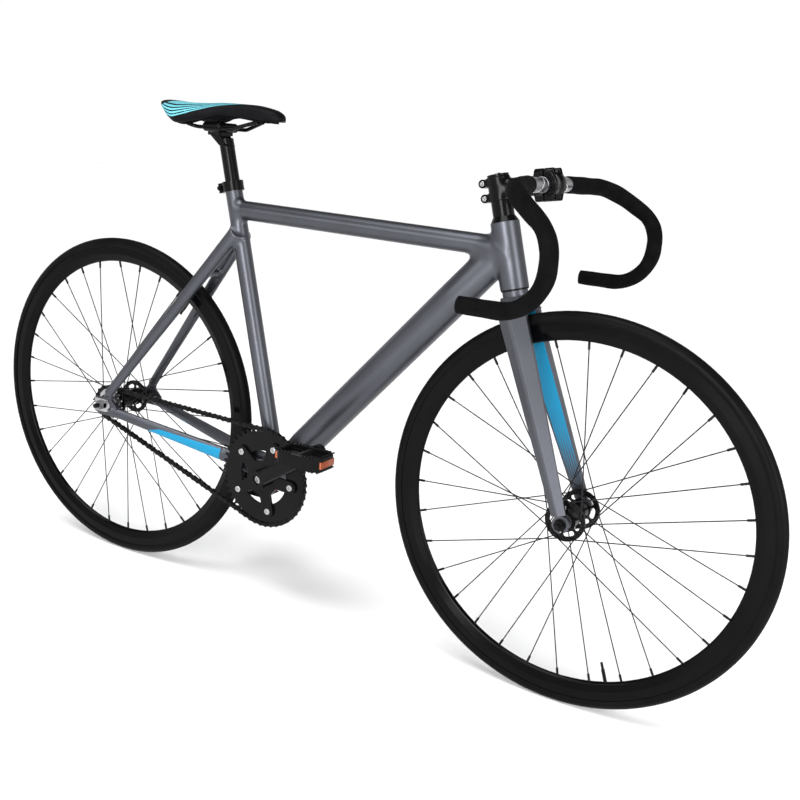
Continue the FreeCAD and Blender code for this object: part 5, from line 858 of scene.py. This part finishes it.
def bar_clamp_distance(points):
    """Both halves of the bar clamp: a waisted barrel round the bar and a post for each of its bolts."""
    radius = BAR_CLAMP_RADIUS - WAIST_DEPTH * np.exp(-(points[:, 1] / WAIST_HALF) ** 2)
    half = SIDE * BAR_CLAMP_HALF
    value = barrel_distance(points, BAR_CENTRE - half, BAR_CENTRE + half, radius, 2.5)
    for up, side in BAR_BOLTS:
        spot = BAR_CENTRE + STEM_UP * up + SIDE * side
        half = STEM_ALONG * POST_HALF
        value = blended(value, barrel_distance(points, spot - half, spot + half, POST_RADIUS, 1.5), 4.0)
        value = bored(value, points, spot + STEM_ALONG * BOLT_SEAT, spot + STEM_ALONG * PAST, BOLT_BORE)
    return bored(value, points, BAR_CENTRE - SIDE * PAST, BAR_CENTRE + SIDE * PAST, BAR_BORE)


def stem_distance(points):
    """Steerer clamp with its slit and pinch lugs, the arm, and the rear half of the bar clamp."""
    low, high = steer(0, 0, STEM_HEIGHT - STEM_HALF), steer(0, 0, STEM_HEIGHT + STEM_HALF)
    value = barrel_distance(points, low, high, STEM_RADIUS, 1.0)
    arm_end = BAR_CENTRE - STEM_ALONG * ARM_SHORT
    arm = tube_distance(points, STEM_ROOT, arm_end, (ARM_SECTION, ARM_SECTION), STEM_UP)
    value = blended(value, arm, 6.0)
    half = np.maximum(bar_clamp_distance(points), (points - BAR_CENTRE) @ STEM_ALONG + PARTING)
    value = blended(value, half, 6.0)
    for up in PINCH_UPS:
        spot = steer(PINCH_BACK, 0, STEM_HEIGHT + up)
        lug = barrel_distance(points, spot - SIDE * LUG_HALF, spot + SIDE * LUG_HALF, LUG_RADIUS, 1.0)
        web = block_distance(points, spot + HEAD_FORWARD * WEB_AHEAD, (HEAD_FORWARD, SIDE, HEAD_UP),
                             WEB_HALVES, 1.0)
        value = blended(value, np.minimum(lug, web), 3.0)
        value = bored(value, points, spot - SIDE * 20.0, spot - SIDE * PINCH_SEAT, BOLT_BORE)
    value = bored(value, points, steer(0, 0, 100.0), steer(0, 0, 220.0), STEERER_BORE)
    value = bored(value, points, BAR_CENTRE - SIDE * PAST, BAR_CENTRE + SIDE * PAST, BAR_BORE)
    ahead = (points - STEM_ROOT) @ HEAD_FORWARD
    return np.maximum(value, -np.maximum(np.abs(points[:, 1]) - PARTING, ahead + SLIT_START))


def faceplate_distance(points):
    return np.maximum(bar_clamp_distance(points), PARTING - (points - BAR_CENTRE) @ STEM_ALONG)


def saddle_clamp_distance(points):
    """Rounded jaws round the rails over a drum that rocks on the post head, split at the rails."""
    jaws = block_distance(points, CLAMP_CENTRE + UP * JAW_RISE, (AHEAD, SIDE, UP), JAW_HALVES, JAW_EDGE)
    drum = barrel_distance(points, CLAMP_CENTRE - SIDE * DRUM_HALF - UP * DRUM_DROP,
                           CLAMP_CENTRE + SIDE * DRUM_HALF - UP * DRUM_DROP, DRUM_RADIUS, 3.0)
    value = blended(jaws, drum, 5.0)
    head = barrel_distance(points, CLAMP_CENTRE, CLAMP_CENTRE + UP * CLAMP_BOLT_TOP, CLAMP_BOLT_RADIUS, 1.0)
    for side in (-RAIL_SIDE, RAIL_SIDE):
        rail = CLAMP_CENTRE + SIDE * side
        value = bored(value, points, rail - AHEAD * RAIL_REACH, rail + AHEAD * RAIL_REACH, RAIL_BORE)
    value = np.maximum(value, JAW_GAP - np.abs((points - CLAMP_CENTRE) @ UP))
    return np.minimum(value, head)


CAST_STEP, CAST_STEP_QUICK = 1.1, 2.4
STEM_ROOM, CLAMP_ROOM = np.array((30.0, 26.0, 30.0)), np.array((26.0, 34.0, 24.0))


def casting(name, distance, low, high, body, node, material):
    step = CAST_STEP
    verts, faces = surface_net(distance, low, high, step)
    thing = mesh_object(name, pulled(verts, distance, 2), faces)
    face_outward(thing)
    thing.data.set_sharp_from_angle(angle=math.radians(40))
    set_material(thing, material)
    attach(thing, body)
    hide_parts(node)


def castings(material):
    low, high = np.minimum(steer(-14.0, 0, 158.0), BAR_CENTRE), np.maximum(steer(0, 0, 170.0), BAR_CENTRE)
    casting("stem_cast", stem_distance, low - STEM_ROOM, high + STEM_ROOM, "steering", "stem_body", material)
    casting("faceplate_cast", faceplate_distance, BAR_CENTRE - STEM_ROOM, BAR_CENTRE + STEM_ROOM, "steering",
            "stem_faceplate", material)
    casting("saddle_clamp_cast", saddle_clamp_distance, CLAMP_CENTRE - CLAMP_ROOM, CLAMP_CENTRE + CLAMP_ROOM,
            "seat", "saddle_clamp", material)


# Bolts with sockets

# Shares of a head's radius and height: its outside, then its socket
HEAD_RINGS = ((1.0, 0.0), (1.0, 0.72), (0.94, 0.92), (0.82, 1.0))
SOCKET_RINGS = ((0.5, 1.0), (0.5, 0.35))
HEAD_AROUND, ASKEW = 24, (0.31, 0.77, 0.55)
# Radius and height of each kind of head
CAP_HEAD, TOP_HEAD, CRANK_HEAD, RING_HEAD = (4.25, 5.0), (4.25, 2.5), (8.5, 4.0), (6.0, 2.0)
TOP_CAP_HEIGHT, CRANK_FACE = 182.5, 58.0
RING_CIRCLE, RING_FIRST, RING_OUTER, RING_INNER = 65.0, 32.4 + 36.0, 48.5, 40.5


def bolt_heads(name, heads, body, node, material):
    """Cap heads with a rolled edge and a six-sided socket, from their seat, direction, radius and height."""
    verts, faces = [], []
    for seat, outward, radius, height in heads:
        outward = unit(outward)
        side = unit(np.cross(outward, ASKEW))
        other = np.cross(outward, side)
        rings = HEAD_RINGS + SOCKET_RINGS
        faces += loft_faces(len(rings), HEAD_AROUND, len(verts))
        for number, (share, rise) in enumerate(rings):
            for k in range(HEAD_AROUND):
                turn = 2 * math.pi * k / HEAD_AROUND
                far = radius * share
                if number >= len(HEAD_RINGS):
                    far *= math.cos(math.pi / 6) / math.cos((turn % (math.pi / 3)) - math.pi / 6)
                across = side * math.cos(turn) + other * math.sin(turn)
                verts.append(seat + outward * (height * rise) + across * far)
    thing = mesh_object(name, np.array(verts), faces)
    thing.data.set_sharp_from_angle(angle=math.radians(35))
    face_outward(thing)
    set_material(thing, material)
    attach(thing, body)
    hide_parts(node)


def bolts(material):
    """Socket heads of the stem, the chainring and the cranks."""
    heads = [(BAR_CENTRE + STEM_ALONG * BOLT_SEAT + STEM_UP * up + SIDE * side, STEM_ALONG, *CAP_HEAD)
             for up, side in BAR_BOLTS]
    heads += [(steer(PINCH_BACK, -PINCH_SEAT, STEM_HEIGHT + up), -SIDE, *CAP_HEAD) for up in PINCH_UPS]
    heads.append((steer(0, 0, TOP_CAP_HEIGHT), HEAD_UP, *TOP_HEAD))
    bolt_heads("stem_bolt_heads", heads, "steering", "stem_bolts", material)
    heads = [(BB + SIDE * CRANK_FACE * way, SIDE * way, *CRANK_HEAD) for way in (-1, 1)]
    for k in range(5):
        turn = math.radians(RING_FIRST + 72.0 * k)
        spot = BB + np.array((math.cos(turn), 0.0, math.sin(turn))) * RING_CIRCLE
        heads += [(spot - SIDE * RING_OUTER, -SIDE, *RING_HEAD), (spot - SIDE * RING_INNER, SIDE, *RING_HEAD)]
    bolt_heads("crank_bolt_heads", heads, "crank", "crank_bolts", material)


# Pedals

BOX_QUADS = ((3, 2, 1, 0), (4, 5, 6, 7), (0, 1, 5, 4), (1, 2, 6, 5), (2, 3, 7, 6), (3, 0, 4, 7))
RAIL_X, RAIL_Y, RAIL_TOP = 43.5, 26.5, 13.0
TOOTH_HEIGHT, TOOTH_TIP, TOOTH_SHORT, TOOTH_LONG = 2.4, 0.45, 4.0, 5.0
WEB_X, WEB_Y, WEB_SIZE, WEB_TIP = 25.0, 13.0, (29.0, 3.0, 15.0), 0.96


def boxes(name, spots, body, material):
    """Small tapered blocks: each is a centre, a size and the share of the size kept at its outer end."""
    verts, faces = [], []
    for centre, size, share in spots:
        base = len(verts)
        for end, keep in ((-0.5, 1.0), (0.5, share)):
            for a, b in ((-0.5, -0.5), (0.5, -0.5), (0.5, 0.5), (-0.5, 0.5)):
                verts.append(centre + np.array((size[0] * a * keep, size[1] * b * keep, size[2] * end)))
        faces += [tuple(base + i for i in quad) for quad in BOX_QUADS]
    thing = mesh_object(name, np.array(verts), faces, smooth=False)
    face_outward(thing)
    bevel = thing.modifiers.new("soften", "BEVEL")
    bevel.width, bevel.segments = 0.0004, 2
    set_material(thing, material)
    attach(thing, body)


def pedal_grip(name, middle, body, material):
    """Teeth along the rails of a platform pedal, and two webs each side of its barrel."""
    spots = []
    for up in (-1.0, 1.0):
        for x in (-RAIL_X, RAIL_X):
            for k in range(9):
                spots.append((middle + np.array((x, -24.0 + 6.0 * k, up * RAIL_TOP)),
                              (TOOTH_LONG, TOOTH_SHORT, up * TOOTH_HEIGHT), TOOTH_TIP))
        for y in (-RAIL_Y, RAIL_Y):
            for k in (0, 1, 2, 3, 7, 8, 9, 10):
                spots.append((middle + np.array((-35.0 + 7.0 * k, y, up * RAIL_TOP)),
                              (TOOTH_SHORT, TOOTH_LONG, up * TOOTH_HEIGHT), TOOTH_TIP))
    for x in (-WEB_X, WEB_X):
        for y in (-WEB_Y, WEB_Y):
            spots.append((middle + np.array((x, y, 0.0)), WEB_SIZE, WEB_TIP))
    boxes("pedal_teeth_" + name, spots, body, material)


# Scene

AZIMUTH, ELEVATION, ROLL = math.radians(28.97), math.radians(14.64), math.radians(4.50)
CAMERA_TARGET, CAMERA_DISTANCE = (0.1609, 0.0, 0.4616), 1.762
SENSOR_WIDTH, FOCAL_PIXELS, PICTURE_PIXELS = 36.0, 1002.2, 800.0
FLOOR_HALF, FLOOR_LOW, FLOOR_HIGH = 14.0, (0.93, 0.93, 0.93), (0.95, 0.95, 0.95)
WORLD_BELOW, WORLD_ABOVE, WORLD_START, WORLD_END = 1.02, 0.12, 0.22, 0.5
SUN_ENERGY, SUN_ANGLE, SUN_WAY = 2.9, math.radians(40.0), (0.15, 0.35, -1.0)
# Name, place, target, size and power of each area light
LIGHTS = (("side", (-1.0, -3.2, 1.9), (0.0, 0.0, 0.5), (2.6, 1.0), 40.0),
          ("key", (0.9, -2.9, 1.1), (0.3, 0.0, 0.5), (0.9, 1.5), 72.0),
          ("front", (2.6, -0.7, 1.0), (0.4, 0.0, 0.5), (0.8, 1.4), 35.0))


def placed(name, data):
    thing = bpy.data.objects.new(name, data)
    bpy.context.scene.collection.objects.link(thing)
    return thing


def camera():
    """The photo's camera, as fitted to the wheels."""
    flat = math.cos(ELEVATION)
    back = Vector((math.sin(AZIMUTH) * flat, -math.cos(AZIMUTH) * flat, math.sin(ELEVATION)))
    right = Vector((math.cos(AZIMUTH), math.sin(AZIMUTH), 0.0))
    up = back.cross(right)
    across = right * math.cos(ROLL) + up * math.sin(ROLL)
    upward = up * math.cos(ROLL) - right * math.sin(ROLL)
    data = bpy.data.cameras.new("camera")
    data.sensor_width = SENSOR_WIDTH
    data.lens = SENSOR_WIDTH * FOCAL_PIXELS / PICTURE_PIXELS
    data.clip_end = 100.0
    thing = placed("camera", data)
    place = Vector(CAMERA_TARGET) + back * CAMERA_DISTANCE
    thing.matrix_world = Matrix.Translation(place) @ Matrix((across, upward, back)).transposed().to_4x4()
    bpy.context.scene.camera = thing


def facing(way):
    return Vector(way).to_track_quat("-Z", "Y").to_euler()


def studio():
    """A pale floor, a world that dims upward, a soft sun and three area lights."""
    corners = np.array(((-1, -1, 0), (1, -1, 0), (1, 1, 0), (-1, 1, 0))) * FLOOR_HALF
    floor = mesh_object("floor", corners / MM, [(0, 1, 2, 3)], smooth=False)
    made, tree, shader = new_material("floor")
    pale = mixed(tree, noise(tree, 3.0), FLOOR_LOW, FLOOR_HIGH)
    dress(tree, shader, {"Base Color": pale, "Roughness": 0.85})
    set_material(floor, made)
    world = bpy.data.worlds.new("world")
    world.use_nodes = True
    tree = world.node_tree
    background = tree.nodes["Background"]
    height = axis_parts(tree, add(tree, "ShaderNodeTexCoord").outputs["Generated"])[2]
    strength = spread(tree, height, WORLD_BELOW, WORLD_ABOVE, WORLD_START, WORLD_END)
    dress(tree, background, {"Color": (1.0, 1.0, 1.0), "Strength": strength})
    bpy.context.scene.world = world
    overhead = bpy.data.lights.new("overhead", "SUN")
    overhead.energy, overhead.angle = SUN_ENERGY, SUN_ANGLE
    placed("overhead", overhead).rotation_euler = facing(SUN_WAY)
    for name, place, target, size, power in LIGHTS:
        data = bpy.data.lights.new(name, "AREA")
        data.shape = "RECTANGLE"
        data.size, data.size_y = size
        data.energy = power
        thing = placed(name, data)
        thing.location = place
        thing.rotation_euler = facing(Vector(target) - Vector(place))
    bpy.context.scene.view_settings.view_transform = "Standard"


# Everything in its place

studio()
camera()

paint = frame_paint()
black = plain("black_alloy", (0.0014, 0.0014, 0.0016), (0.003, 0.003, 0.0034), 0.0, 0.20, shine=0.10)
gloss = plain("rim_black", (0.001, 0.001, 0.0012), (0.002, 0.002, 0.0024), 0.0, 0.14, shine=0.07)
spoke = plain("spoke_black", (0.006, 0.006, 0.007), (0.013, 0.013, 0.014), 0.6, 0.30, edge=0.0, shine=0.15)
dark_steel = plain("dark_steel", (0.004, 0.004, 0.004), (0.012, 0.0115, 0.0115), 0.7, 0.34, shine=0.12)
bright = plain("bright_steel", (0.30, 0.30, 0.31), (0.40, 0.40, 0.41), 1.0, 0.25)
alloy = plain("plain_alloy", (0.17, 0.17, 0.175), (0.25, 0.25, 0.255), 1.0, 0.34)
plastic = plain("black_plastic", (0.0015, 0.0015, 0.0015), (0.0032, 0.0032, 0.0034), 0.0, 0.34, bump=0.35,
                grain=0.0001, shine=0.08)
rubber = tyre_rubber()
reflector = amber()
soft = foam()
fork = fork_paint()

looks = (
    (paint, "dropouts"),
    (fork, "fork_crown fork_blades"),
    (black, "seat_collar bottom_bracket_cups seatpost saddle_rails headset_covers "
     "headset_spacers top_cap front_hub rear_hub crank_right crank_left chainring"),
    (gloss, "front_rim rear_rim"),
    (spoke, "front_spokes rear_spokes front_nipples rear_nipples"),
    (dark_steel, "chain rear_axle front_axle front_axle_nuts front_valve rear_valve"),
    (bright, "dropout_liners rear_cog pedal_spindles"),
    (alloy, "headset_bearings rear_axle_nuts fork_steerer front_hub_bearings "
     "rear_hub_bearings bottom_bracket_spindle"),
    (plastic, "pedal_right pedal_left"),
    (rubber, "front_tyre rear_tyre"),
    (reflector, "pedal_reflectors_right pedal_reflectors_left"),
    (soft, "saddle_shell bar_end_plugs"),
    (bar_alloy(), "handlebar"),
)
for made, names in looks:
    for name in names.split():
        set_material(nodes[name], made)

welded_frame(paint)
saddle()
grips(soft)
bolts(bright)
castings(black)
pedal_grip("right", PEDAL_RIGHT, "pedal_right_body", plastic)
pedal_grip("left", PEDAL_LEFT, "pedal_left_body", plastic)
